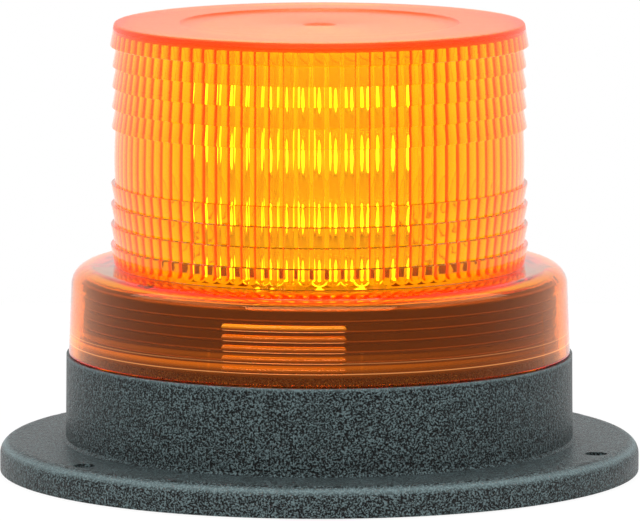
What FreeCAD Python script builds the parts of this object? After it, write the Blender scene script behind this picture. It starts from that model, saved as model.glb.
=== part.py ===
import FreeCAD, Part
import math
import os

# Rotating beacon, millimetres, +Z up.  The origin is the centre of the mounting face.
# A flanged base housing carries a drive plate.  A motor turns a square column of light boards
# through a compound gear, and an amber lens covers the column.

Vec = FreeCAD.Vector
UP = Vec(0, 0, 1)
AXIS = Vec(0, 0, 0)

# ---- base housing -----------------------------------------------------------------------------
body_radius = 63.5          # at the foot of the round wall
body_draft = 0.2            # how much the wall leans in up to its rim
flange_width = 16.5
flange_thickness = 7.5
flange_edge_round = 3.5
foot_bevel = 0.7
rim_height = 29.0           # seam between the housing and the lens
housing_wall = 3.0
ledge_thickness = 3.0
collar_clearance = 1.5      # from the lens skirt's inside to the collar
collar_wall = 2.0
collar_rise = 19.3
collar_bevel = 1.2
collar_groove_first = 1.6   # above the seal's groove
collar_groove_pitch = 2.5
collar_groove_depth = 0.4
collar_groove_count = 5
hole_inset = 6.5            # from the flange's edge to the centre of a mounting hole
hole_radius = 2.75
hole_count = 3
first_hole_azimuth = 98.5
relief_depth = 4.5          # coring under the flange
relief_margin = 2.5
relief_ribs = 12
relief_rib_width = 1.8
hole_boss_radius = 5.6
lug_margin = 1.5            # of a lens lug round its boss
seal_groove_depth = 1.6
seal_groove_width = 4.2
seal_groove_offset = 0.5
lens_seal_rise = 2.0        # above the housing's rim
lens_seal_width = 1.7
lens_seal_height = 1.7
lens_seal_seat = 0.7        # depth of its groove in the collar

# ---- lens -------------------------------------------------------------------------------------
lens_set_in = 0.6           # how far the skirt stands inside the housing's rim
skirt_taper = 0.7
skirt_wall = 2.3
skirt_height = 22.5
shoulder_round = 5.0
shoulder_width = 9.8
shoulder_thickness = 2.3
inner_bevel_share = 0.7     # of the shoulder's round, inside it
seam_gap = 0.25
drum_draft = 0.012          # radius lost per millimetre of height
ring_pitch = 5.1
ring_step = 0.95
drum_flare = 0.6            # of the drum's foot on the shoulder
rings_below = 4
rings_above = 4
foot_band = 5.2
middle_band = 14.0
middle_bulge = 0.25
cap_band = 5.6
cap_lip = 0.6
cap_lean = 0.9
lid_thickness = 2.5
lid_bevel = 0.5
lid_recess_radius = 34.5
lid_recess_depth = 0.6
gate_radius = 4.2
gate_depth = 0.5
drum_wall = 1.6
flute_count = 90
flute_height = 0.6
flute_start = 1.0           # above the shoulder
flute_foot_depth = 1.5      # of the flutes' cone-shaped foot, in flute heights
flute_foot_rise = 1.8       # of the same cone
grip_ribs = 5
grip_rib_pitch = 2.45
grip_rib_height = 0.8
grip_rib_width = 1.7
grip_lowest = 4.9           # first rib's centre above the seam
grip_azimuth = 247.7
grip_sweep = 28.2
lens_boss_radius = 3.3
lens_boss_inset = 5.4       # from the collar's bore to the boss's centre
lens_screw_hole = 14.0

# ---- inner stack ------------------------------------------------------------------------------
plate_recess = 2.0          # base plate above the mounting face
plate_thickness = 3.0
plate_boss_radius = 3.5
plate_boss_inset = 5.0
plate_ribs = 6
plate_rib_height = 2.0
plate_rib_width = 1.5
plate_rib_start = 2.0       # beyond the grommet's flange
board_standoff = 6.0
board_thickness = 1.6
board_gap = 11.5            # from the housing's bore to the board's edge
standoff_inset = 18.5
standoff_across_flats = 7.0
standoff_clearance = 1.1    # of the board's holes round the spacers
standoff_lower_hole = 9.0
standoff_upper_hole = 8.0
drive_plate_thickness = 2.0
drive_plate_gap = 1.7       # to the lens bosses
gusset_azimuths = (100.0, 160.0, 220.0, 310.0)
gusset_thickness = 1.6
gusset_reach = 8.0
gusset_height_share = 0.7   # of the bearing tube's length
shaft_clearance = 1.5       # of the plate's hole round the motor's shaft
vent_azimuths = (130.0, 185.0, 250.0, 305.0)
vent_inset = 13.0
vent_radius = 6.0
deck_thickness = 2.0
deck_drop = 0.3             # deck below the collar's top
deck_lip = 2.0
deck_lip_wall = 0.9
deck_pillar_radius = 3.0
deck_pillar_inset = 20.5
deck_rim_width = 1.2
deck_rim_rise = 0.8
deck_boss_gap = 0.7         # of the deck's holes round the lens bosses
gearbox_floor_gap = 0.6     # from the drive plate to the lower gears

# ---- pieces on the driver board ---------------------------------------------------------------
capacitor_radius = 5.0
capacitor_height = 11.0
capacitor_circle = 31.0
capacitor_azimuths = (140.0, 115.0)
coil_radius = 6.0
coil_winding_radius = 4.6
coil_height = 6.0
coil_flange = 1.0
coil_circle = 28.0
coil_azimuth = -60.0
chip_length = 6.0
chip_width = 5.0
chip_height = 1.7
chip_circle = 29.0
chip_azimuths = (-34.0, 70.0, 178.0)
terminal_place = (-12.0, -37.0, 0.0)
terminal_width = 14.0
terminal_depth = 8.0
terminal_height = 9.0
terminal_pitch = 6.4
terminal_sill = 1.5
terminal_mouth_width = 3.6
terminal_mouth_depth = 4.0
terminal_mouth_height = 4.0
terminal_mouth_set = 2.5    # from the terminal's middle to the middle of its mouths
terminal_well_radius = 1.8
terminal_well_depth = 2.0

# ---- gears ------------------------------------------------------------------------------------
pressure_angle = math.radians(20.0)
addendum_share = 0.75       # stub teeth, so that twelve teeth mesh without undercut
dedendum_share = 1.0
tooth_thinning = 0.05       # each gear's share of the backlash
main_module = 0.8
main_teeth = 48
small_teeth = 12
motor_module = 0.5
idler_teeth = 48
pinion_teeth = 12
gear_width = 3.2
gear_web_recess = 1.5
gear_rim = 2.7              # from the pitch circle to the recess
motor_gear_width = 2.8
gear_gap = 0.4              # between the two stages
motor_direction = 60.0      # azimuth of the motor seen from the idler
idler_axle_radius = 1.5
idler_hub_radius = 4.0
axle_groove_depth = 0.4
axle_clip_bite = 0.35
axle_clip_width = 1.2
clip_mouth_share = 1.2      # a clip's mouth, in its inner radii

# ---- rotor ------------------------------------------------------------------------------------
spindle_radius = 5.0
spindle_bore = 3.0
bush_wall = 1.95
bush_length = 6.0
bush_flange = 1.2
bush_flange_rim = 1.51
bearing_tube_wall = 3.5
bearing_tube_length = 12.0
washer_thickness = 0.5
washer_inset = 0.3
spindle_seat = 1.0          # how far the spindle stands into the turntable
spindle_groove_depth = 0.5
spindle_clip_bite = 0.45
spindle_clip_width = 2.3
hub_wall = 3.5
turntable_rim = 1.83        # beyond the column's corners
turntable_thickness = 2.5
turntable_bevel = 0.6
turntable_gap = 1.0         # turntable's underside below the deck's underside
deck_opening_gap = 0.8
spigot_height = 2.5
spigot_fit = 0.2            # taken off the width of the column's spigots
core_screw_hole = 8.0
column_azimuth = 20.7
column_width = 26.4         # across the light boards
column_wall = 4.1
column_headroom = 7.1
light_board_thickness = 1.6
light_board_margin = 0.1
light_board_foot = 1.5
light_board_headroom = 0.4
cap_height = 3.0
cap_corner_round = 2.0
cap_edge_bevel = 0.8
cap_spigot = 4.0
cap_counterbore = 1.4
led_width = 7.0
led_body = 1.2
led_window = 6.0
led_window_rise = 0.3
led_rows = 4
led_columns = 2
led_column_pitch = 10.6
led_first_row = 7.2         # above the turntable
led_last_row = 9.2          # below the cap

# ---- slip rings -------------------------------------------------------------------------------
slip_ring_wall = 1.1
slip_ring_width = 2.0
slip_ring_count = 2
slip_ring_spacing = 3.4
insulator_wall = 1.4
insulator_lip = 0.4
insulator_end = 0.6
leaf_thickness = 0.3
leaf_width = 1.6
leaf_gap = 0.05
holder_width = 8.0
holder_depth = 8.0
holder_reach = 17.0         # holder's centre from the spindle's axis
holder_drop = 0.2           # below the insulating spool
holder_hole_depth = 7.0
leaf_tip = 4.0              # past the spindle's axis
leaf_tail = 1.0             # short of the holder's far side

# ---- motor ------------------------------------------------------------------------------------
motor_radius = 12.2
motor_length = 20.0
motor_wall = 0.9
motor_cap_thickness = 2.5
motor_cap_boss = 3.0
motor_boss_height = 1.5
motor_shaft_seat = 1.0      # the closed end of the shaft's bore in the cap
motor_shaft_stand = 0.2     # of the shaft above its pinion
motor_shaft_radius = 1.0
motor_screw_pitch = 16.0
magnet_thickness = 2.1
magnet_length = 13.0
magnet_sweep = 140.0
magnet_lift = 1.5           # above the motor's end cap
armature_radius = 8.7
armature_length = 12.0
armature_slots = 3
armature_slot_width = 1.6
armature_slot_share = 0.5   # of the armature's radius, where a slot ends
armature_lift = 2.0         # above the motor's end cap

# ---- cable inlet ------------------------------------------------------------------------------
inlet_hole_radius = 7.0
inlet_bore = 3.2
inlet_flange_radius = 9.0
inlet_flange = 1.5
inlet_nose = 3.5
inlet_nose_wall = 2.4
inlet_nose_tip = 1.4

# ---- fasteners and fits -----------------------------------------------------------------------
M3 = {"shank": 1.5, "head": 2.75, "rise": 1.8}
M2 = {"shank": 1.0, "head": 1.9, "rise": 1.2}
head_crown = 0.85           # a screw head's top, in its own radii
plate_screw = 12.0          # lengths under the head
lens_screw = 14.0
board_screw = 6.0
standoff_lower_screw = 10.0
standoff_upper_screw = 8.0
holder_screw = 8.0
deck_screw = 11.5
column_screw = 10.0
cap_screw = 8.0
motor_screw = 3.0
screw_fit = 0.05            # radial, where a screw bites
screw_pass = 0.2            # radial, where a screw passes through
head_fit = 0.1              # radial, round a sunk screw head
running_fit = 0.04          # radial, shaft in bore
seat_gap = 0.05             # lens bosses above their lugs
press_gap = 0.02
plate_gap = 0.4
soft_gap = 0.3
glue_gap = 0.1
end_play = 0.05
overrun = 1.0               # how far a cut or a web runs past the face it ends at
root_depth = 0.5            # how far a raised form starts inside its wall


# ---- places worked out from the sizes ---------------------------------------------------------
flange_radius = body_radius + flange_width
body_rim_radius = body_radius - body_draft
housing_bore = body_radius - housing_wall
skirt_foot_radius = body_rim_radius - lens_set_in
skirt_top_radius = skirt_foot_radius - skirt_taper
collar_radius = skirt_foot_radius - skirt_wall - collar_clearance
collar_bore = collar_radius - collar_wall
collar_top = rim_height + collar_rise
ledge_underside = rim_height - ledge_thickness
hole_circle = flange_radius - hole_inset
shoulder_top = rim_height + skirt_height
drum_foot_radius = skirt_top_radius - shoulder_width
lens_boss_circle = collar_bore - lens_boss_inset
drum_height = (foot_band + (rings_below - 1) * ring_pitch + middle_band
               + rings_above * ring_pitch + cap_band)
lens_top = shoulder_top + drum_height
lid_underside = lens_top - lid_thickness

plate_underside = plate_recess
plate_top = plate_underside + plate_thickness
plate_screw_circle = housing_bore - plate_boss_inset
board_bottom = plate_top + board_standoff
board_top = board_bottom + board_thickness
board_radius = housing_bore - board_gap
standoff_circle = housing_bore - standoff_inset
deck_top = collar_top - deck_drop
deck_underside = deck_top - deck_thickness
deck_radius = collar_bore - deck_drop
deck_pillar_circle = housing_bore - deck_pillar_inset
gearbox_height = turntable_gap + gear_width + gear_gap + motor_gear_width + gearbox_floor_gap
drive_plate_top = deck_underside - gearbox_height
drive_plate_underside = drive_plate_top - drive_plate_thickness
drive_plate_radius = lens_boss_circle - lens_boss_radius - drive_plate_gap
turntable_underside = deck_underside - turntable_gap
turntable_top = turntable_underside + turntable_thickness
main_gear_underside = turntable_underside - gear_width
motor_gear_top = main_gear_underside - gear_gap
motor_gear_underside = motor_gear_top - motor_gear_width
idler_distance = main_module * (main_teeth + small_teeth) / 2
motor_distance = motor_module * (idler_teeth + pinion_teeth) / 2
bush_radius = spindle_radius + running_fit + bush_wall
bush_flange_radius = bush_radius + bush_flange_rim
hub_radius = spindle_radius + hub_wall
turntable_radius = column_width / math.sqrt(2) + turntable_rim
insulator_radius = spindle_radius + insulator_wall
slip_ring_radius = insulator_radius + slip_ring_wall
insulator_flange = slip_ring_radius + insulator_lip
bearing_tube_radius = bush_radius + press_gap + bearing_tube_wall
bearing_tube_foot = drive_plate_underside - bearing_tube_length
washer_underside = drive_plate_top + bush_flange + end_play
hub_underside = washer_underside + washer_thickness
spindle_top = turntable_underside + spindle_seat
clip_thickness = 0.6
clip_top = bearing_tube_foot - bush_flange - 3 * end_play
insulator_top = clip_top - clip_thickness - soft_gap
insulator_foot = insulator_top - slip_ring_spacing - slip_ring_width - 2 * insulator_end
spindle_foot = insulator_foot - soft_gap
column_top = lid_underside - column_headroom
core_top = column_top - cap_height
core_width = column_width - 2 * light_board_thickness
core_bore = core_width - 2 * column_wall
column_screw_offset = core_bore / 2 + column_wall / 2
motor_top = drive_plate_underside
motor_foot = motor_top - motor_length

opposite_azimuth = first_hole_azimuth + 180.0 / hole_count


def polar(radius, azimuth, height=0.0):
    """The point at a radius and an azimuth in degrees."""
    angle = math.radians(azimuth)
    return Vec(radius * math.cos(angle), radius * math.sin(angle), height)


def ring_of(count, radius, first_azimuth):
    """Evenly spaced points on a circle about the axis."""
    return [polar(radius, first_azimuth + 360.0 * index / count) for index in range(count)]


idler_centre = polar(idler_distance, 0.0)
motor_centre = idler_centre + polar(motor_distance, motor_direction)
lens_screw_places = ring_of(hole_count, lens_boss_circle, first_hole_azimuth)
mounting_holes = ring_of(hole_count, hole_circle, first_hole_azimuth)
standoff_places = ring_of(hole_count, standoff_circle, first_hole_azimuth)
plate_screw_places = ring_of(hole_count, plate_screw_circle, opposite_azimuth)
board_screw_places = ring_of(hole_count, standoff_circle, opposite_azimuth)
deck_screw_places = ring_of(hole_count, deck_pillar_circle, opposite_azimuth)
motor_screw_places = [motor_centre + polar(side * motor_screw_pitch / 2, motor_direction + 90.0)
                      for side in (-1, 1)]
holder_centre = Vec(-slip_ring_radius, -holder_reach, 0)
holder_screw_places = [holder_centre + Vec(side * holder_width / 4, 0, 0) for side in (-1, 1)]


class Outline:
    """A closed outline of lines and arcs in the plane of radius and height."""

    def __init__(self, radius, height):
        self.start = Vec(radius, 0, height)
        self.here = self.start
        self.edges = []

    def line(self, radius, height):
        """Draw a straight edge to a point."""
        end = Vec(radius, 0, height)
        self.edges.append(Part.makeLine(self.here, end))
        self.here = end
        return self

    def arc(self, through, end):
        """Draw an arc through one point to another."""
        middle = Vec(through[0], 0, through[1])
        last = Vec(end[0], 0, end[1])
        self.edges.append(Part.Arc(self.here, middle, last).toShape())
        self.here = last
        return self

    def round(self, centre, radius, start_degrees, end_degrees):
        """Draw an arc about a centre, which starts where the outline has got to."""
        def on_arc(degrees):
            angle = math.radians(degrees)
            return (centre[0] + radius * math.cos(angle), centre[1] + radius * math.sin(angle))
        return self.arc(on_arc((start_degrees + end_degrees) / 2), on_arc(end_degrees))

    def face(self):
        """Close the outline and fill it."""
        self.line(self.start.x, self.start.z)
        return Part.Face(Part.Wire(self.edges))

    def turned(self, sweep=360.0):
        """Turn the filled outline about the Z axis."""
        return self.face().revolve(AXIS, UP, sweep)


def profile(*points):
    """An outline of straight edges through points of radius and height."""
    outline = Outline(*points[0])
    for radius, height in points[1:]:
        outline.line(radius, height)
    return outline


def rod(radius, low, high, centre=AXIS):
    """A cylinder standing between two heights."""
    return Part.makeCylinder(radius, high - low, centre + Vec(0, 0, low))


def tube(outer, inner, low, high, centre=AXIS):
    """A hollow cylinder standing between two heights."""
    return rod(outer, low, high, centre).cut(rod(inner, low, high, centre))


def block(width, depth, low, high, centre=AXIS):
    """A box standing between two heights, centred on a point."""
    corner = centre + Vec(-width / 2, -depth / 2, low)
    return Part.makeBox(width, depth, high - low, corner)


def spoke(inner, outer, width, low, high, azimuth):
    """A radial bar at an azimuth."""
    bar = Part.makeBox(outer - inner, width, high - low, Vec(inner, -width / 2, low))
    return turn(bar, azimuth)


def turn(shape, degrees, centre=AXIS):
    """A copy of a shape turned about a vertical line."""
    copy = shape.copy()
    copy.rotate(centre, UP, degrees)
    return copy


def union(shapes):
    """Join shapes into one solid."""
    return shapes[0].multiFuse(list(shapes[1:])).removeSplitter() if len(shapes) > 1 else shapes[0]


def drill(shape, places, radius, low, high):
    """Cut the same round hole at several places."""
    return shape.cut([rod(radius, low, high, place) for place in places])


def screw(place, seat, length, kind, upward=False):
    """A pan-head screw: its head sits on the seat height and its shank goes into the piece."""
    sign = -1 if upward else 1
    top = seat + sign * kind["rise"]
    tip = seat - sign * length
    shape = profile((0, top), (kind["head"] * head_crown, top), (kind["head"], seat), (kind["shank"], seat),
                    (kind["shank"], tip), (0, tip)).turned()
    shape.translate(place)
    return shape


def screws(places, seat, length, kind, upward=False):
    """The same screw at several places."""
    return [screw(place, seat, length, kind, upward) for place in places]


# ---- housing and plate ------------------------------------------------------------------------
def housing_shell():
    """The flanged wall, its ledge and the collar inside the lens skirt."""
    edge = flange_radius - flange_edge_round
    top = flange_thickness
    outline = Outline(housing_bore, 0)
    outline.line(flange_radius, 0)
    outline.line(flange_radius, top - flange_edge_round)
    outline.round((edge, top - flange_edge_round), flange_edge_round, 0, 90)
    outline.line(body_radius + foot_bevel, top)
    outline.line(body_radius, top + foot_bevel)
    outline.line(body_rim_radius, rim_height)
    outline.line(collar_radius, rim_height)
    seal_low = rim_height + lens_seal_rise
    seal_high = seal_low + lens_seal_height + soft_gap
    outline.line(collar_radius, seal_low)
    outline.line(collar_radius - lens_seal_seat, seal_low)
    outline.line(collar_radius - lens_seal_seat, seal_high)
    outline.line(collar_radius, seal_high)
    for index in range(collar_groove_count):
        middle = seal_high + collar_groove_first + index * collar_groove_pitch
        outline.line(collar_radius, middle - collar_groove_depth)
        outline.line(collar_radius - collar_groove_depth, middle)
        outline.line(collar_radius, middle + collar_groove_depth)
    outline.line(collar_radius, collar_top - collar_bevel)
    outline.line(collar_radius - collar_bevel, collar_top)
    outline.line(collar_bore, collar_top)
    outline.line(collar_bore, ledge_underside)
    outline.line(housing_bore, ledge_underside)
    return outline.turned()


def flange_relief():
    """The pockets that core out the flange's underside, between its ribs and hole bosses."""
    inner = seal_groove_outer() + relief_margin / 2
    outer = flange_radius - relief_margin
    ring = tube(outer, inner, 0, relief_depth)
    solids = [rod(hole_boss_radius, 0, relief_depth, place) for place in mounting_holes]
    for index in range(relief_ribs):
        azimuth = first_hole_azimuth + (index + 0.5) * 360.0 / relief_ribs
        solids.append(spoke(inner - overrun, outer + overrun, relief_rib_width, 0, relief_depth, azimuth))
    return ring.cut(solids)


def seal_groove_inner():
    """Inner radius of the groove that holds the mounting seal."""
    return housing_bore + housing_wall - seal_groove_offset


def seal_groove_outer():
    """Outer radius of the groove that holds the mounting seal."""
    return seal_groove_inner() + seal_groove_width


def lens_lugs():
    """The lugs on the ledge that the lens bosses stand on."""
    width = 2 * (lens_boss_radius + lug_margin)
    lugs = []
    for place in lens_screw_places:
        azimuth = math.degrees(math.atan2(place.y, place.x))
        bar = spoke(lens_boss_circle, collar_radius, width, ledge_underside, rim_height, azimuth)
        lugs.append(bar.fuse(rod(width / 2, ledge_underside, rim_height, place)))
    return lugs


def plate_bosses():
    """The bosses inside the wall that the base plate is screwed to."""
    bosses = []
    for place in plate_screw_places:
        azimuth = math.degrees(math.atan2(place.y, place.x))
        web = spoke(plate_screw_circle, housing_bore + overrun, plate_boss_radius, plate_top,
                    rim_height - overrun, azimuth)
        bosses.append(web.fuse(rod(plate_boss_radius, plate_top, rim_height - overrun, place)))
    return bosses


def base_housing():
    """The moulded housing: flange, wall, ledge, collar, lugs and bosses."""
    shell = union([housing_shell()] + lens_lugs() + plate_bosses())
    groove = tube(seal_groove_outer(), seal_groove_inner(), 0, seal_groove_depth)
    shell = shell.cut([flange_relief(), groove])
    shell = drill(shell, mounting_holes, hole_radius, 0, flange_thickness)
    shell = drill(shell, lens_screw_places, M3["shank"] + screw_pass, ledge_underside, rim_height)
    return drill(shell, plate_screw_places, M3["shank"] + screw_fit, plate_top, ledge_underside)


def base_plate():
    """The plate that closes the housing, with the bosses that carry the driver board."""
    plate = rod(housing_bore - plate_gap, plate_underside, plate_top)
    bosses = [rod(plate_boss_radius, plate_top, board_bottom, place) for place in board_screw_places]
    ribs = []
    for index in range(plate_ribs):
        azimuth = first_hole_azimuth + (index + 0.5) * 360.0 / plate_ribs
        ribs.append(spoke(inlet_flange_radius + plate_rib_start, plate_screw_circle,
                          plate_rib_width, plate_top, plate_top + plate_rib_height, azimuth))
    plate = union([plate] + bosses + ribs)
    plate = plate.cut(rod(inlet_hole_radius, plate_underside, plate_top))
    passing = M3["shank"] + screw_pass
    plate = drill(plate, plate_screw_places, passing, plate_underside, plate_top)
    plate = drill(plate, standoff_places, passing, plate_underside, plate_top)
    return drill(plate, board_screw_places, M3["shank"] + screw_fit, plate_top, board_bottom)


def cable_grommet():
    """The rubber grommet that the supply lead comes in through."""
    groove = inlet_hole_radius - press_gap
    low = plate_underside - inlet_flange
    high = plate_top + inlet_flange
    return profile((inlet_bore, low), (inlet_flange_radius, low),
                   (inlet_flange_radius, plate_underside), (groove, plate_underside),
                   (groove, plate_top), (inlet_flange_radius, plate_top),
                   (inlet_flange_radius, high), (inlet_bore + inlet_nose_wall, high),
                   (inlet_bore + inlet_nose_tip, high + inlet_nose),
                   (inlet_bore, high + inlet_nose)).turned()


def mounting_seal():
    """The foam ring under the flange, a little clear of its groove's walls."""
    return tube(seal_groove_outer() - soft_gap, seal_groove_inner() + soft_gap,
                soft_gap, seal_groove_depth - press_gap)


def lens_seal():
    """The seal ring in the collar's groove."""
    inner = collar_radius - lens_seal_seat + press_gap
    low = rim_height + lens_seal_rise + soft_gap / 2
    return tube(inner + lens_seal_width, inner, low, low + lens_seal_height)


# ---- lens -------------------------------------------------------------------------------------
def drum_radius(height):
    """The drum's lip radius at a height, with its moulding draft."""
    return drum_foot_radius - drum_draft * (height - shoulder_top)


def draw_rings(outline):
    """Draw the stepped rings of the drum from its foot up to its cap band."""
    height = shoulder_top + foot_band
    for index in range(rings_below):
        root = drum_radius(height) - ring_step
        outline.line(drum_radius(height), height)
        outline.line(root, height)
        height += ring_pitch if index < rings_below - 1 else middle_band
    low = height - middle_band
    bulged = drum_radius(low + middle_band / 2) - ring_step + middle_bulge
    outline.arc((bulged, low + middle_band / 2), (drum_radius(height) - ring_step, height))
    for index in range(rings_above):
        outline.line(drum_radius(height), height)
        height += ring_pitch
        outline.line(drum_radius(height) - ring_step, height)
    return outline


def lens_outside():
    """The lens's outer form, filled: skirt, shoulder, ringed drum and lid."""
    foot = rim_height + seam_gap
    corner = (skirt_top_radius - shoulder_round, shoulder_top - shoulder_round)
    outline = Outline(0, foot)
    outline.line(skirt_foot_radius, foot)
    outline.line(skirt_top_radius, shoulder_top - shoulder_round)
    outline.round(corner, shoulder_round, 0, 90)
    outline.line(drum_radius(shoulder_top) - ring_step + drum_flare, shoulder_top)
    draw_rings(outline)
    cap = drum_radius(lens_top - cap_band) + cap_lip
    top = cap - cap_lean
    outline.line(cap, lens_top - cap_band)
    outline.line(top, lens_top - lid_bevel)
    outline.line(top - lid_bevel, lens_top)
    outline.line(lid_recess_radius, lens_top)
    outline.line(lid_recess_radius, lens_top - lid_recess_depth)
    outline.line(gate_radius, lens_top - lid_recess_depth)
    outline.line(gate_radius, lens_top - lid_recess_depth - gate_depth)
    outline.line(0, lens_top - lid_recess_depth - gate_depth)
    return outline.turned()


def drum_bore():
    """Radius of the drum's inner wall between the flutes."""
    return drum_radius(lens_top) - ring_step - drum_wall


def flute_prism(low, high):
    """The drum's bore with a round flute standing into it at each step."""
    valley = drum_bore()
    step = 360.0 / flute_count
    edges = []
    for index in range(flute_count):
        azimuth = index * step
        crest = polar(valley - flute_height, azimuth + step / 2, low)
        arc = Part.Arc(polar(valley, azimuth, low), crest, polar(valley, azimuth + step, low))
        edges.append(arc.toShape())
    return Part.Face(Part.Wire(edges)).extrude(Vec(0, 0, high - low))


def lens_hollow():
    """The space inside the lens: under the skirt, under the shoulder and inside the drum."""
    foot = rim_height + seam_gap
    under = shoulder_top - shoulder_thickness
    inner_bevel = (shoulder_round - skirt_wall) * inner_bevel_share
    top_radius = skirt_top_radius - skirt_wall
    flute_foot = shoulder_top + flute_start
    outline = Outline(0, foot)
    outline.line(skirt_foot_radius - skirt_wall, foot)
    outline.line(top_radius, under - inner_bevel)
    outline.line(top_radius - inner_bevel, under)
    outline.line(drum_bore(), under)
    outline.line(drum_bore(), flute_foot)
    crest_foot = flute_foot + flute_foot_rise * flute_height
    outline.line(drum_bore() - flute_foot_depth * flute_height, crest_foot)
    outline.line(0, crest_foot)
    return outline.turned().fuse(flute_prism(flute_foot - root_depth, lid_underside))


def grip_patch():
    """The short raised ribs on the skirt that the fingers hold."""
    ribs = []
    half = grip_rib_width / 2
    for index in range(grip_ribs):
        height = rim_height + grip_lowest + index * grip_rib_pitch
        wall = skirt_foot_radius - skirt_taper * (height - rim_height) / (skirt_height - shoulder_round)
        outline = Outline(wall - root_depth, height - half)
        outline.line(wall, height - half)
        outline.arc((wall + grip_rib_height, height), (wall, height + half))
        outline.line(wall - root_depth, height + half)
        ribs.append(turn(outline.turned(grip_sweep), grip_azimuth))
    return ribs


def lens():
    """The amber lens, moulded in one piece, with its three screw bosses."""
    shell = lens_outside().cut(lens_hollow())
    foot = rim_height + seat_gap
    bosses = [rod(lens_boss_radius, foot, shoulder_top - shoulder_thickness, place)
              for place in lens_screw_places]
    shell = union([shell] + bosses + grip_patch())
    return drill(shell, lens_screw_places, M3["shank"] + screw_fit, foot, foot + lens_screw_hole)


# ---- boards and structure ---------------------------------------------------------------------
def driver_board():
    """The round circuit board over the base plate."""
    board = rod(board_radius, board_bottom, board_top)
    board = board.cut(rod(inlet_hole_radius, board_bottom, board_top))
    standoff_hole = standoff_across_flats / 2 + standoff_clearance
    board = drill(board, standoff_places, standoff_hole, board_bottom, board_top)
    return drill(board, board_screw_places, M3["shank"] + screw_pass, board_bottom, board_top)


def capacitors():
    """The two capacitors that smooth the supply."""
    return [rod(capacitor_radius, board_top, board_top + capacitor_height,
                polar(capacitor_circle, azimuth)) for azimuth in capacitor_azimuths]


def driver_coil():
    """The drum-shaped coil of the light driver."""
    low, high = board_top, board_top + coil_height
    coil = profile((0, low), (coil_radius, low), (coil_radius, low + coil_flange),
                   (coil_winding_radius, low + coil_flange), (coil_winding_radius, high - coil_flange),
                   (coil_radius, high - coil_flange), (coil_radius, high), (0, high)).turned()
    return coil.translated(polar(coil_circle, coil_azimuth))


def driver_chips():
    """The flat chips on the driver board."""
    chip = block(chip_length, chip_width, board_top, board_top + chip_height, Vec(chip_circle, 0, 0))
    return [turn(chip, azimuth) for azimuth in chip_azimuths]


def terminal_block():
    """The screw terminal for the supply lead, with its two wire mouths."""
    centre = Vec(*terminal_place)
    top = board_top + terminal_height
    sill = board_top + terminal_sill
    body = block(terminal_width, terminal_depth, board_top, top, centre)
    sides = [Vec(side * terminal_pitch / 2, 0, 0) for side in (-1, 1)]
    front = Vec(0, -terminal_mouth_set, 0)
    mouths = [block(terminal_mouth_width, terminal_mouth_depth, sill, sill + terminal_mouth_height,
                    centre + side + front) for side in sides]
    wells = [rod(terminal_well_radius, top - terminal_well_depth, top, centre + side)
             for side in sides]
    return body.cut(mouths + wells)


def hexagon(across_flats, low, high, centre):
    """A hexagonal bar standing between two heights."""
    corner = across_flats / math.sqrt(3)
    points = [centre + polar(corner, 60.0 * index, low) for index in range(7)]
    return Part.Face(Part.makePolygon(points)).extrude(Vec(0, 0, high - low))


def drive_standoffs():
    """The hexagonal spacers that carry the drive plate."""
    spacers = []
    bite = M3["shank"] + screw_fit
    for place in standoff_places:
        spacer = hexagon(standoff_across_flats, plate_top, drive_plate_underside, place)
        spacer = spacer.cut(rod(bite, plate_top, plate_top + standoff_lower_hole, place))
        upper = drive_plate_underside - standoff_upper_hole
        spacers.append(spacer.cut(rod(bite, upper, drive_plate_underside, place)))
    return spacers


def drive_plate():
    """The cast plate with the bearing tube and its gussets."""
    plate = rod(drive_plate_radius, drive_plate_underside, drive_plate_top)
    bearing = rod(bearing_tube_radius, bearing_tube_foot, drive_plate_underside)
    gussets = []
    for azimuth in gusset_azimuths:
        drop = bearing_tube_length * gusset_height_share
        outline = profile((bearing_tube_radius - overrun, drive_plate_underside),
                          (bearing_tube_radius + gusset_reach, drive_plate_underside),
                          (bearing_tube_radius - overrun, drive_plate_underside - drop))
        rib = outline.face().extrude(Vec(0, gusset_thickness, 0))
        rib.translate(Vec(0, -gusset_thickness / 2, 0))
        gussets.append(turn(rib, azimuth))
    plate = union([plate, bearing] + gussets)
    plate = plate.cut(rod(bush_radius + press_gap, bearing_tube_foot, drive_plate_top))
    low, high = drive_plate_underside, drive_plate_top
    passing = M3["shank"] + screw_pass
    plate = drill(plate, standoff_places, passing, low, high)
    plate = drill(plate, deck_screw_places, M3["shank"] + screw_fit, low, high)
    plate = drill(plate, motor_screw_places + holder_screw_places, M2["shank"] + screw_pass, low, high)
    plate = drill(plate, [motor_centre], motor_shaft_radius + shaft_clearance, low, high)
    plate = drill(plate, [idler_centre], idler_axle_radius, low, high)
    vents = [polar(drive_plate_radius - vent_inset, azimuth) for azimuth in vent_azimuths]
    return drill(plate, vents, vent_radius, low, high)


def spindle_bushes():
    """Two flanged bronze bushes, one at each end of the bearing tube."""
    bore = spindle_radius + running_fit
    low = bearing_tube_foot
    high = drive_plate_top
    lower = profile((bore, low - bush_flange), (bush_flange_radius, low - bush_flange),
                    (bush_flange_radius, low), (bush_radius, low),
                    (bush_radius, low + bush_length), (bore, low + bush_length)).turned()
    upper = profile((bore, high + bush_flange), (bush_flange_radius, high + bush_flange),
                    (bush_flange_radius, high), (bush_radius, high),
                    (bush_radius, high - bush_length), (bore, high - bush_length)).turned()
    return [lower, upper]


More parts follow.
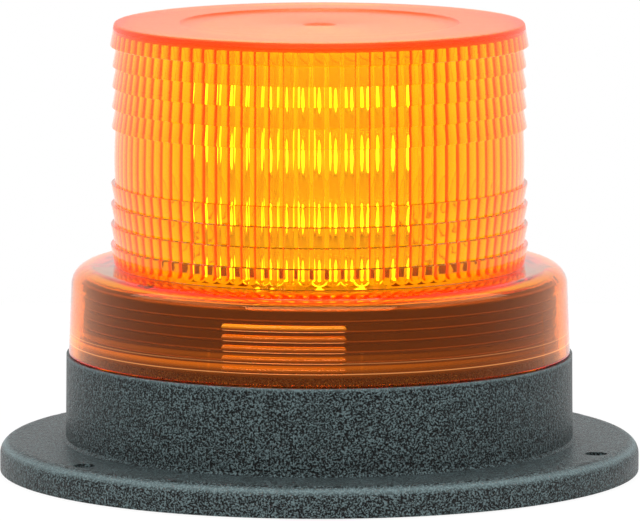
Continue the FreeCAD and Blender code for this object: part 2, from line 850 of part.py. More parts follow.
def deck_cover():
    """The dark deck under the column, on three hollow pillars."""
    inner = turntable_radius + deck_opening_gap
    low = deck_underside
    deck = profile((inner, low), (deck_radius - deck_lip_wall, low),
                   (deck_radius - deck_lip_wall, low - deck_lip), (deck_radius, low - deck_lip),
                   (deck_radius, deck_top), (inner + deck_rim_width, deck_top),
                   (inner + deck_rim_width, deck_top + deck_rim_rise),
                   (inner, deck_top + deck_rim_rise)).turned()
    pillars = [rod(deck_pillar_radius, drive_plate_top, low, place) for place in deck_screw_places]
    deck = union([deck] + pillars)
    deck = drill(deck, deck_screw_places, M3["shank"] + screw_pass, drive_plate_top, deck_top)
    return drill(deck, lens_screw_places, lens_boss_radius + deck_boss_gap, low, deck_top)


# ---- gears ------------------------------------------------------------------------------------
def involute(angle):
    """The involute function of a pressure angle."""
    return math.tan(angle) - angle


def gear_outline(module, teeth, height):
    """The outline of an involute gear with a tooth centred on azimuth zero."""
    pitch_radius = module * teeth / 2
    base_radius = pitch_radius * math.cos(pressure_angle)
    tip_radius = pitch_radius + addendum_share * module
    root_radius = pitch_radius - dedendum_share * module
    half_tooth = (math.pi * module / 2 - tooth_thinning) / (2 * pitch_radius)

    def flank(radius, tooth, side):
        """The point of a tooth's flank at a radius."""
        working = max(radius, base_radius)
        roll = involute(math.acos(base_radius / working))
        away = half_tooth + involute(pressure_angle) - roll
        return polar(radius, math.degrees(2 * math.pi * tooth / teeth + side * away), height)

    start_radius = max(base_radius, root_radius)
    middle_radius = (start_radius + tip_radius) / 2
    edges = []
    for tooth in range(teeth):
        if start_radius > root_radius:
            edges.append(Part.makeLine(flank(root_radius, tooth, -1), flank(start_radius, tooth, -1)))
        edges.append(Part.Arc(flank(start_radius, tooth, -1), flank(middle_radius, tooth, -1),
                              flank(tip_radius, tooth, -1)).toShape())
        edges.append(Part.makeLine(flank(tip_radius, tooth, -1), flank(tip_radius, tooth, 1)))
        edges.append(Part.Arc(flank(tip_radius, tooth, 1), flank(middle_radius, tooth, 1),
                              flank(start_radius, tooth, 1)).toShape())
        if start_radius > root_radius:
            edges.append(Part.makeLine(flank(start_radius, tooth, 1), flank(root_radius, tooth, 1)))
        edges.append(Part.makeLine(flank(root_radius, tooth, 1), flank(root_radius, tooth + 1, -1)))
    return Part.Face(Part.Wire(edges))


def spur_gear(module, teeth, low, high, centre=AXIS, phase=0.0):
    """A spur gear between two heights, with a tooth at the azimuth called phase."""
    gear = gear_outline(module, teeth, low).extrude(Vec(0, 0, high - low))
    gear.translate(centre)
    return turn(gear, phase, centre)


def main_gear():
    """The large gear under the turntable, thinned between its hub and rim."""
    low, high = main_gear_underside, turntable_underside
    gear = spur_gear(main_module, main_teeth, low, high)
    rim = main_module * main_teeth / 2 - gear_rim
    inner = column_screw_offset * math.sqrt(2) - M2["head"] - screw_pass
    recess = tube(rim, inner, low, low + gear_web_recess)
    gear = gear.cut([rod(hub_radius, low, high), recess])
    return drill(gear, column_screw_places(), M2["shank"] + screw_pass, low, high)


def idler_gear():
    """The compound gear: a large wheel that the motor drives and a small one on top of it."""
    half_step = 180.0 / small_teeth
    hub = rod(idler_hub_radius, drive_plate_top + 2 * end_play, motor_gear_underside, idler_centre)
    wheel = spur_gear(motor_module, idler_teeth, motor_gear_underside, motor_gear_top,
                      idler_centre, motor_direction)
    small = spur_gear(main_module, small_teeth, motor_gear_top, turntable_underside,
                      idler_centre, 180.0 + half_step)
    gear = union([hub, wheel, small])
    bore = idler_axle_radius + running_fit
    return gear.cut(rod(bore, drive_plate_top, turntable_underside, idler_centre))


def drive_pinion():
    """The motor's pinion, pressed on its shaft."""
    half_step = 180.0 / pinion_teeth
    pinion = spur_gear(motor_module, pinion_teeth, motor_gear_underside, motor_gear_top,
                       motor_centre, motor_direction + 180.0 + half_step)
    return pinion.cut(rod(motor_shaft_radius, motor_gear_underside, motor_gear_top, motor_centre))


def clip_groove(low):
    """Heights of a retaining clip's groove, which lies just clear of the clip."""
    return low - press_gap, low + clip_thickness + press_gap


def split_ring(outer, inner, low, centre=AXIS):
    """A flat retaining clip with an open mouth."""
    ring = tube(outer, inner, low, low + clip_thickness, centre)
    mouth = block(outer * 2, inner * clip_mouth_share, low, low + clip_thickness, centre + Vec(-outer, 0, 0))
    return ring.cut(mouth)


def idler_axle():
    """The fixed pin that the compound gear turns on."""
    clip_low = turntable_underside + 2 * end_play
    low, high = clip_groove(clip_low)
    pin = rod(idler_axle_radius, drive_plate_underside, high + 2 * end_play, idler_centre)
    return pin.cut(tube(idler_axle_radius + overrun, idler_axle_radius - axle_groove_depth, low, high,
                        idler_centre))


def axle_clip():
    """The clip that keeps the compound gear on its pin."""
    return split_ring(idler_axle_radius + axle_clip_width, idler_axle_radius - axle_clip_bite,
                      turntable_underside + 2 * end_play, idler_centre)


# ---- rotor ------------------------------------------------------------------------------------
def column_screw_places():
    """The four corners of the column's core, where its screws go."""
    reach = column_screw_offset * math.sqrt(2)
    return ring_of(4, reach, column_azimuth + 45.0)


def spindle():
    """The hollow spindle that the column's wires come down through."""
    shaft = tube(spindle_radius, spindle_bore, spindle_foot, spindle_top)
    low, high = clip_groove(clip_top - clip_thickness)
    return shaft.cut(tube(spindle_radius + overrun, spindle_radius - spindle_groove_depth, low, high))


def thrust_washer():
    """The washer between the turntable's hub and the upper bush."""
    return tube(hub_radius - washer_inset, spindle_radius + running_fit, washer_underside, hub_underside)


def retaining_clip():
    """The clip under the lower bush that keeps the spindle down."""
    return split_ring(spindle_radius + spindle_clip_width, spindle_radius - spindle_clip_bite,
                      clip_top - clip_thickness)


def slip_ring_levels():
    """The lowest height of each slip ring."""
    first = insulator_foot + insulator_end
    return [first + index * slip_ring_spacing for index in range(slip_ring_count)]


def slip_rings():
    """The brass rings that feed the turning column."""
    return [tube(slip_ring_radius, insulator_radius, level, level + slip_ring_width)
            for level in slip_ring_levels()]


def slip_ring_sleeve():
    """The insulating spool on the spindle, with a groove for each slip ring."""
    sleeve = tube(insulator_flange, spindle_radius, insulator_foot, insulator_top)
    grooves = [tube(insulator_flange + overrun, insulator_radius, level, level + slip_ring_width)
               for level in slip_ring_levels()]
    return sleeve.cut(grooves)


def contact_springs():
    """The two spring leaves that bear on the slip rings."""
    leaves = []
    inner = -slip_ring_radius - leaf_gap
    for level in slip_ring_levels():
        low = level + (slip_ring_width - leaf_width) / 2
        length = holder_reach + holder_depth / 2 - leaf_tail + leaf_tip
        corner = Vec(inner - leaf_thickness, leaf_tip - length, low)
        leaves.append(Part.makeBox(leaf_thickness, length, leaf_width, corner))
    return leaves


def contact_holder():
    """The insulating block under the drive plate that holds the spring leaves."""
    foot = insulator_foot - holder_drop
    body = block(holder_width, holder_depth, foot, drive_plate_underside, holder_centre)
    body = body.cut(contact_springs())
    return drill(body, holder_screw_places, M2["shank"] + screw_fit,
                 drive_plate_underside - holder_hole_depth, drive_plate_underside)


def turntable():
    """The moulded hub and disc that carry the column and the large gear."""
    shape = profile((spindle_radius, hub_underside), (hub_radius, hub_underside),
                    (hub_radius, turntable_underside), (turntable_radius, turntable_underside),
                    (turntable_radius, turntable_top - turntable_bevel),
                    (turntable_radius - turntable_bevel, turntable_top),
                    (spindle_bore, turntable_top), (spindle_bore, spindle_top),
                    (spindle_radius, spindle_top)).turned()
    width = core_bore - spigot_fit
    spigot = block(width, width, turntable_top, turntable_top + spigot_height)
    spigot = spigot.cut(rod(spindle_bore, turntable_top, turntable_top + spigot_height))
    shape = union([shape, turn(spigot, column_azimuth)])
    return drill(shape, column_screw_places(), M2["shank"] + screw_pass, turntable_underside,
                 turntable_top)


def column_core():
    """The square aluminium tube that cools the light boards."""
    core = block(core_width, core_width, turntable_top, core_top)
    core = core.cut(block(core_bore, core_bore, turntable_top, core_top))
    core = turn(core, column_azimuth)
    bite = M2["shank"] + screw_fit
    core = drill(core, column_screw_places(), bite, turntable_top, turntable_top + core_screw_hole)
    return drill(core, column_screw_places(), bite, core_top - core_screw_hole, core_top)


def on_faces(shapes):
    """Repeat shapes drawn on the column's +X face on all four of its faces."""
    return [turn(shape, column_azimuth + 90.0 * face) for face in range(4) for shape in shapes]


def light_boards():
    """The four light boards, one on each face of the core."""
    width = core_width - 2 * light_board_margin
    corner = Vec(core_width / 2, -width / 2, turntable_top + light_board_foot)
    length = core_top - light_board_headroom - corner.z
    return on_faces([Part.makeBox(light_board_thickness, width, length, corner)])


def led_heights():
    """The height of each row of lights."""
    first = turntable_top + led_first_row
    last = core_top - led_last_row
    return [first + (last - first) * row / (led_rows - 1) for row in range(led_rows)]


def leds():
    """The square lights on the boards, each with its raised window."""
    lights = []
    front = column_width / 2
    for height in led_heights():
        for column in range(led_columns):
            side = (column - (led_columns - 1) / 2) * led_column_pitch
            body = Part.makeBox(led_body, led_width, led_width,
                                Vec(front, side - led_width / 2, height - led_width / 2))
            window = Part.makeBox(led_window_rise, led_window, led_window,
                                  Vec(front + led_body, side - led_window / 2, height - led_window / 2))
            lights.append(body.fuse(window))
    return on_faces(lights)


def column_cap():
    """The cap on the column, with a spigot that fits inside the core."""
    cap = block(column_width, column_width, core_top, column_top)
    upright = [edge for edge in cap.Edges
               if abs(edge.Vertexes[0].Z - edge.Vertexes[1].Z) > cap_height / 2]
    cap = cap.makeFillet(cap_corner_round, upright)
    rim = [edge for edge in cap.Edges
           if min(vertex.Z for vertex in edge.Vertexes) > column_top - press_gap]
    cap = cap.makeChamfer(cap_edge_bevel, rim)
    width = core_bore - spigot_fit
    spigot = block(width, width, core_top - cap_spigot, core_top)
    cap = turn(union([cap, spigot]), column_azimuth)
    seat = column_top - cap_counterbore
    cap = drill(cap, column_screw_places(), M2["head"] + head_fit, seat, column_top)
    return drill(cap, column_screw_places(), M2["shank"] + screw_pass, core_top, column_top)


# ---- motor ------------------------------------------------------------------------------------
def motor_can():
    """The motor's drawn steel can, open at its foot."""
    inner = motor_radius - motor_wall
    low = motor_foot + motor_cap_thickness
    can = rod(motor_radius, low, motor_top, motor_centre)
    can = can.cut(rod(inner, low, motor_top - motor_wall, motor_centre))
    can = drill(can, motor_screw_places, M2["shank"] + screw_fit, motor_top - motor_wall, motor_top)
    bore = motor_shaft_radius + running_fit
    return can.cut(rod(bore, motor_top - motor_wall, motor_top, motor_centre))


def motor_end_cap():
    """The moulded cap that closes the motor's can and holds the shaft's foot."""
    low = motor_foot
    high = low + motor_cap_thickness
    cap = rod(motor_radius, low, high, motor_centre)
    boss_top = high + motor_boss_height
    cap = union([cap, rod(motor_cap_boss, high, boss_top, motor_centre)])
    bore = motor_shaft_radius + running_fit
    return cap.cut(rod(bore, low + motor_shaft_seat, boss_top, motor_centre))


def motor_magnets():
    """The two curved magnets inside the can."""
    outer = motor_radius - motor_wall - glue_gap
    low = motor_foot + motor_cap_thickness + magnet_lift
    ring = profile((outer - magnet_thickness, low), (outer, low), (outer, low + magnet_length),
                   (outer - magnet_thickness, low + magnet_length)).turned(magnet_sweep)
    magnets = []
    for azimuth in (0.0, 180.0):
        magnet = turn(ring, azimuth - magnet_sweep / 2)
        magnet.translate(motor_centre)
        magnets.append(magnet)
    return magnets


def motor_armature():
    """The slotted armature on the motor's shaft."""
    low = motor_foot + motor_cap_thickness + armature_lift
    high = low + armature_length
    core = rod(armature_radius, low, high)
    slots = [spoke(armature_radius * armature_slot_share, armature_radius + overrun,
                   armature_slot_width, low, high, 360.0 * index / armature_slots)
             for index in range(armature_slots)]
    core = core.cut(slots + [rod(motor_shaft_radius, low, high)])
    core.translate(motor_centre)
    return core


def motor_shaft():
    """The motor's shaft, from its seat in the end cap to just past its pinion."""
    foot = motor_foot + motor_shaft_seat + end_play
    return rod(motor_shaft_radius, foot, motor_gear_top + motor_shaft_stand, motor_centre)


# ---- the whole beacon -------------------------------------------------------------------------
NODES = {
    "base_housing": lambda: [base_housing()],
    "base_plate": lambda: [base_plate()],
    "plate_screws": lambda: screws(plate_screw_places, plate_underside, plate_screw, M3, upward=True),
    "cable_grommet": lambda: [cable_grommet()],
    "mounting_seal": lambda: [mounting_seal()],
    "lens_seal": lambda: [lens_seal()],
    "lens": lambda: [lens()],
    "lens_screws": lambda: screws(lens_screw_places, ledge_underside, lens_screw, M3, upward=True),
    "driver_board": lambda: [driver_board()],
    "capacitors": capacitors,
    "driver_coil": lambda: [driver_coil()],
    "driver_chips": driver_chips,
    "terminal_block": lambda: [terminal_block()],
    "board_screws": lambda: screws(board_screw_places, board_top, board_screw, M3),
    "drive_standoffs": drive_standoffs,
    "standoff_screws": lambda: (
        screws(standoff_places, plate_underside, standoff_lower_screw, M3, upward=True)
        + screws(standoff_places, drive_plate_top, standoff_upper_screw, M3)),
    "drive_plate": lambda: [drive_plate()],
    "spindle_bushes": spindle_bushes,
    "contact_holder": lambda: [contact_holder()],
    "contact_springs": contact_springs,
    "holder_screws": lambda: screws(holder_screw_places, drive_plate_top, holder_screw, M2),
    "deck_cover": lambda: [deck_cover()],
    "deck_screws": lambda: screws(deck_screw_places, deck_top, deck_screw, M3),
    "spindle": lambda: [spindle()],
    "thrust_washer": lambda: [thrust_washer()],
    "retaining_clip": lambda: [retaining_clip()],
    "slip_ring_sleeve": lambda: [slip_ring_sleeve()],
    "slip_rings": slip_rings,
    "turntable": lambda: [turntable()],
    "main_gear": lambda: [main_gear()],
    "column_screws": lambda: screws(column_screw_places(), main_gear_underside + gear_web_recess,
                                    column_screw, M2, upward=True),
    "column_core": lambda: [column_core()],
    "light_boards": light_boards,
    "leds": leds,
    "column_cap": lambda: [column_cap()],
    "cap_screws": lambda: screws(column_screw_places(), column_top - cap_counterbore, cap_screw, M2),
    "idler_gear": lambda: [idler_gear()],
    "idler_axle": lambda: [idler_axle()],
    "axle_clip": lambda: [axle_clip()],
    "motor_can": lambda: [motor_can()],
    "motor_end_cap": lambda: [motor_end_cap()],
    "motor_magnets": motor_magnets,
    "motor_screws": lambda: screws(motor_screw_places, drive_plate_top, motor_screw, M2),
    "motor_armature": lambda: [motor_armature()],
    "motor_shaft": lambda: [motor_shaft()],
    "drive_pinion": lambda: [drive_pinion()],
}


def main():
    """Build each node and write it as one STEP file."""
    os.makedirs("parts", exist_ok=True)
    for node, build in NODES.items():
        solids = build()
        shape = solids[0] if len(solids) == 1 else Part.makeCompound(solids)
        shape.exportStep("parts/" + node + ".step")
        print(node, len(shape.Solids), shape.isValid(), round(shape.Volume, 1))


main()
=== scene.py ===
"""The looks of a rotating beacon: amber lens, dark flanged base and the lit column that turns inside."""

import logging
import math
from dataclasses import dataclass, field
from enum import Enum
from typing import Optional, Protocol, Sequence, Union

import bmesh
import bpy
import numpy as np
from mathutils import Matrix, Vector


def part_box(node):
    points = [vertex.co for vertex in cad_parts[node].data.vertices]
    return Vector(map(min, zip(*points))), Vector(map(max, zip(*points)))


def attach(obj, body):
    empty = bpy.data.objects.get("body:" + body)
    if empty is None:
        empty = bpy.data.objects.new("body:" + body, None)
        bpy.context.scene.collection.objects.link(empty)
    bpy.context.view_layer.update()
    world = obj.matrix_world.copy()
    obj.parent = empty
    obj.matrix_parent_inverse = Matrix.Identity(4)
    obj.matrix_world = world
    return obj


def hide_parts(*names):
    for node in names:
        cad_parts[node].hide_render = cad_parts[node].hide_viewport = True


log = logging.getLogger("beacon")
MM = 0.001
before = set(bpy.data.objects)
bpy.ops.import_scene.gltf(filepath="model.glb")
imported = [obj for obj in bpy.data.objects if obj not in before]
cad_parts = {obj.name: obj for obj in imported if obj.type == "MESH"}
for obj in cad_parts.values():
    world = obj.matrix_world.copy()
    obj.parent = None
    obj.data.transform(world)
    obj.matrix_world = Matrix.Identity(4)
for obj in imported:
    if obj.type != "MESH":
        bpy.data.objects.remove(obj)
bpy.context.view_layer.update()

Number = Union[int, float]
Colour = tuple[float, float, float]
Outline = list[tuple[float, float]]


class Slot(Enum):
    """The finishes of the beacon's pieces, by the names that its record gives them."""

    HOUSING = "housing"
    INNER_BLACK = "inner_black"
    DECK_BLACK = "deck_black"
    RUBBER = "rubber"
    FOAM = "foam"
    SEAL_RUBBER = "seal_rubber"
    ZINC_STEEL = "zinc_steel"
    BLACK_STEEL = "black_steel"
    GROUND_STEEL = "ground_steel"
    MOTOR_STEEL = "motor_steel"
    MOTOR_CAP = "motor_cap"
    ARMATURE_IRON = "armature_iron"
    FERRITE = "ferrite"
    BRONZE = "bronze"
    SPRING_BRONZE = "spring_bronze"
    BRASS_RING = "brass_ring"
    BRASS_GEAR = "brass_gear"
    CAST_ALLOY = "cast_alloy"
    EXTRUDED_ALUMINIUM = "extruded_aluminium"
    BOARD_GREEN = "board_green"
    BOARD_WHITE = "board_white"
    CAPACITOR_SLEEVE = "capacitor_sleeve"
    CHIP_BLACK = "chip_black"
    TERMINAL_GREEN = "terminal_green"
    GEAR_WHITE = "gear_white"
    LENS_AMBER = "lens_amber"
    LED_AMBER = "led_amber"


class Facing(Enum):
    """Which way a screw's head looks."""

    UP = 0.0
    DOWN = math.pi


# ---- node trees ---------------------------------------------------------------------------------
class Wire:
    """A node socket that Python arithmetic can be done on."""

    def __init__(self, tree: "Tree", socket: bpy.types.NodeSocket) -> None:
        """Wrap a socket of a tree."""
        self.tree = tree
        self.socket = socket

    def _math(self, operation: str, *values: Union["Wire", Number]) -> "Wire":
        """Add a Math node and give its result."""
        node = self.tree.node("Math", {"operation": operation}, dict(enumerate(values)))
        return self.tree.wire(node)

    def __add__(self, other: Union["Wire", Number]) -> "Wire":
        """Give the sum."""
        return self._math("ADD", self, other)

    __radd__ = __add__

    def __sub__(self, other: Union["Wire", Number]) -> "Wire":
        """Give the difference."""
        return self._math("SUBTRACT", self, other)

    def __rsub__(self, other: Number) -> "Wire":
        """Give a number less this value."""
        return self._math("SUBTRACT", other, self)

    def __mul__(self, other: Union["Wire", Number]) -> "Wire":
        """Give the product."""
        return self._math("MULTIPLY", self, other)

    __rmul__ = __mul__

    def __truediv__(self, other: Union["Wire", Number]) -> "Wire":
        """Give the quotient."""
        return self._math("DIVIDE", self, other)

    def __gt__(self, other: Union["Wire", Number]) -> "Wire":
        """Give 1 where this value is the larger."""
        return self._math("GREATER_THAN", self, other)

    def __lt__(self, other: Union["Wire", Number]) -> "Wire":
        """Give 1 where this value is the smaller."""
        return self._math("LESS_THAN", self, other)

    def smallest(self, other: Union["Wire", Number]) -> "Wire":
        """Give the smaller of two values."""
        return self._math("MINIMUM", self, other)

    def largest(self, other: Union["Wire", Number]) -> "Wire":
        """Give the larger of two values."""
        return self._math("MAXIMUM", self, other)

    def root(self) -> "Wire":
        """Give the square root."""
        return self._math("SQRT", self)

    def fraction(self) -> "Wire":
        """Give the part after the point."""
        return self._math("FRACT", self)

    def angle_with(self, other: "Wire") -> "Wire":
        """Give the angle whose tangent is this value over another."""
        return self._math("ARCTAN2", self, other)

    def clamped(self) -> "Wire":
        """Give the value held between 0 and 1."""
        return self.largest(0.0).smallest(1.0)


class Tree:
    """A node tree that is being built."""

    def __init__(self, nodes: bpy.types.NodeTree, prefix: str) -> None:
        """Take a tree and the prefix of its own Math and other node types."""
        self.tree = nodes
        self.prefix = prefix

    def node(self, kind: str, settings: Optional[dict] = None,
             inputs: Optional[dict] = None) -> bpy.types.Node:
        """Add a node.

        Args:
            kind: The node's type, without its prefix where that is this tree's own.
            settings: Its properties, set first. "stops" sets a ramp's places and colours.
            inputs: The values or wires of its sockets, by name or number.

        Returns:
            The new node.
        """
        full = "ShaderNode" + kind if kind in ("Math", "VectorMath", "Mix") else self.prefix + kind
        node = self.tree.nodes.new(full if not kind.startswith("=") else kind[1:])
        for name, value in (settings or {}).items():
            if name == "stops":
                self._set_stops(node, value)
            else:
                setattr(node, name, value)
        for key, value in (inputs or {}).items():
            socket = node.inputs[key]
            if isinstance(value, Wire):
                self.tree.links.new(value.socket, socket)
            elif isinstance(value, bpy.types.NodeSocket):
                self.tree.links.new(value, socket)
            else:
                socket.default_value = value
        return node

    @staticmethod
    def _set_stops(node: bpy.types.Node, stops: Sequence[tuple[float, Sequence[float]]]) -> None:
        """Give a ramp its stops."""
        elements = node.color_ramp.elements
        while len(elements) < len(stops):
            elements.new(1.0)
        for element, (place, colour) in zip(elements, stops):
            element.position = place
            element.color = (*colour, 1.0)[:4]

    def wire(self, node: bpy.types.Node, output: Union[str, int] = 0) -> Wire:
        """Wrap one output of a node."""
        return Wire(self, node.outputs[output])


class Paint(Tree):
    """A material that is being built, on Object coordinates."""

    def __init__(self, name: str) -> None:
        """Start an empty material."""
        self.material = bpy.data.materials.new(name)
        self.material.use_nodes = True
        self.material.node_tree.nodes.clear()
        super().__init__(self.material.node_tree, "ShaderNode")
        place = self.node("TexCoord")
        self.place = self.wire(place, "Object")
        parts = self.node("SeparateXYZ", None, {0: self.place})
        self.x, self.y, self.z = (self.wire(parts, axis) for axis in "XYZ")

    def noise(self, scale: float, detail: float = 2.0, rough: float = 0.5) -> Wire:
        """Give a noise value over the surface.

        Args:
            scale: How many features lie in a metre.
            detail: Octaves.
            rough: How strong the finer octaves are.

        Returns:
            The noise, from 0 to 1.
        """
        node = self.node("TexNoise", None, {"Vector": self.place, "Scale": scale,
                                            "Detail": detail, "Roughness": rough})
        return self.wire(node, 0)

    def mix(self, factor: Union[Wire, float], low: Sequence[float], high: Sequence[float]) -> Wire:
        """Blend two colours."""
        node = self.node("Mix", {"data_type": "RGBA"}, {0: factor, 6: (*low, 1.0), 7: (*high, 1.0)})
        return self.wire(node, 2)

    def blend(self, factor: Wire, under: Wire, over: Sequence[float]) -> Wire:
        """Lay one colour over another that already varies."""
        node = self.node("Mix", {"data_type": "RGBA"}, {0: factor, 6: under, 7: (*over, 1.0)})
        return self.wire(node, 2)

    def attribute(self, name: str) -> Wire:
        """Give a number that the mesh carries at its points."""
        return self.wire(self.node("Attribute", {"attribute_name": name}), "Fac")

    def bump(self, height: Wire, distance: float, strength: float = 1.0) -> Wire:
        """Turn a height into a normal."""
        node = self.node("Bump", None, {"Height": height, "Distance": distance, "Strength": strength})
        return self.wire(node, 0)

    def finish(self, **sockets: Union[Wire, float, Sequence[float]]) -> bpy.types.Material:
        """End in a Principled shader.

        Args:
            **sockets: The shader's sockets, with underscores for spaces.

        Returns:
            The material.
        """
        inputs = {}
        for name, value in sockets.items():
            key = name.replace("_", " ").replace("Colour", "Color")
            inputs[key] = (*value, 1.0) if isinstance(value, tuple) else value
        shader = self.node("BsdfPrincipled", None, inputs)
        self.node("OutputMaterial", None, {"Surface": self.wire(shader)})
        return self.material


# ---- finishes -----------------------------------------------------------------------------------
class Finish(Protocol):
    """Anything that can make a material."""

    def material(self) -> bpy.types.Material:
        """Build the material."""


@dataclass(frozen=True)
class SparkPlastic:
    """Moulded plastic with the fine pitted grain of a spark-cut mould, and painted highlights along its
    edges.

    An edge is its radius, height and width in millimetres, and how strong its painted highlight is.
    """

    name: str
    colour: Colour
    # Each edge carries a painted highlight: a lighter base colour along it, standing in for the light it
    # catches.
    edges: tuple[tuple[float, float, float, float], ...] = ()
    # How many times lighter than the plastic's colour the painted highlight on the edges is.
    highlight_lift: float = 4.0
    roughness: float = 0.34
    grain: float = 2100.0
    depth: float = 0.0012
    pits: float = 0.04
    glints: float = 11.0
    shine: float = 0.14
    patch_scale: float = 0.3
    contrast: float = 6.0
    patchiness: float = 0.6
    lightness: float = 0.26
    gloss_spread: float = 0.3

    def material(self) -> bpy.types.Material:
        """Build the material."""
        paint = Paint(self.name)
        fine = paint.noise(self.grain, 2.0, 0.6)
        coarse = paint.noise(self.grain * self.patch_scale, 2.0, 0.5)
        height = fine * 0.7 + coarse * 0.5
        tone = (fine - 0.5) * self.contrast + (coarse - 0.5) * self.patchiness + self.lightness
        tone = tone.clamped()
        dark = tuple(value * self.pits for value in self.colour)
        light = tuple(value * self.glints for value in self.colour)
        radius = (paint.x * paint.x + paint.y * paint.y).root()
        painted_highlight: Union[Wire, float] = 0.0
        # Painted highlight: a mask that is 1 along each listed edge and fades over its width.
        for out, up, width, share in self.edges:
            across, along = radius - out * MM, paint.z - up * MM
            away = (across * across + along * along).root()
            painted_highlight = (1.0 - away / (width * MM)).clamped() * share + painted_highlight
        shade = paint.mix(tone, dark, light)
        if self.edges:
            # The painted highlight's colour, laid over the grain along the edges.
            pale = tuple(value * self.highlight_lift for value in self.colour)
            shade = paint.blend((painted_highlight * (tone * 0.5 + 0.7)).clamped(), shade, pale)
        gloss = fine * self.gloss_spread + (self.roughness - self.gloss_spread / 2)
        return paint.finish(Base_Colour=shade, Roughness=gloss.clamped(),
                            Specular_IOR_Level=self.shine, Normal=paint.bump(height, self.depth))


@dataclass(frozen=True)
class RingedPlastic:
    """Smooth dark plastic with turned rings and a painted highlight on each lip. Lengths are in millimetres.
    """

    name: str
    colour: Colour
    # The colour of the painted highlight along the ring lips.
    lip: Colour
    first: float
    pitch: float
    lip_width: float = 0.32
    roughness: float = 0.45

    def material(self) -> bpy.types.Material:
        """Build the material."""
        paint = Paint(self.name)
        flow = paint.noise(220.0, 3.0)
        away = ((paint.z - self.first * MM) / (self.pitch * MM) + 0.5).fraction() - 0.5
        # Painted highlight: 1 at each ring's lip, fading over the lip's width.
        painted_highlight = (1.0 - (away * away).root() * (self.pitch / self.lip_width)).clamped()
        dark = tuple(value * 0.8 for value in self.colour)
        shade = paint.mix(flow, dark, self.colour)
        return paint.finish(Base_Colour=paint.blend(painted_highlight * (flow * 0.6 + 0.7), shade, self.lip),
                            Roughness=self.roughness, Specular_IOR_Level=0.25,
                            Normal=paint.bump(paint.noise(2500.0, 2.0), 0.00001))


@dataclass(frozen=True)
class PlainPlastic:
    """Smooth moulded plastic with a faint flow of tone."""

    name: str
    colour: Colour
    roughness: float = 0.5
    spread: float = 0.15

    def material(self) -> bpy.types.Material:
        """Build the material."""
        paint = Paint(self.name)
        flow = paint.noise(220.0, 3.0)
        dark = tuple(value * (1 - self.spread) for value in self.colour)
        light = tuple(min(value * (1 + self.spread), 1.0) for value in self.colour)
        return paint.finish(Base_Colour=paint.mix(flow, dark, light), Roughness=self.roughness,
                            Normal=paint.bump(paint.noise(2500.0, 2.0), 0.00001))


@dataclass(frozen=True)
class Metal:
    """Bare or plated metal with fine tool marks."""

    name: str
    colour: Colour
    roughness: float = 0.3

    def material(self) -> bpy.types.Material:
        """Build the material."""
        paint = Paint(self.name)
        marks = paint.noise(900.0, 4.0, 0.6)
        dark = tuple(value * 0.85 for value in self.colour)
        return paint.finish(Base_Colour=paint.mix(marks, dark, self.colour), Metallic=1.0,
                            Roughness=(marks * 0.2 + (self.roughness - 0.1)).clamped(),
                            Normal=paint.bump(marks, 0.00001))


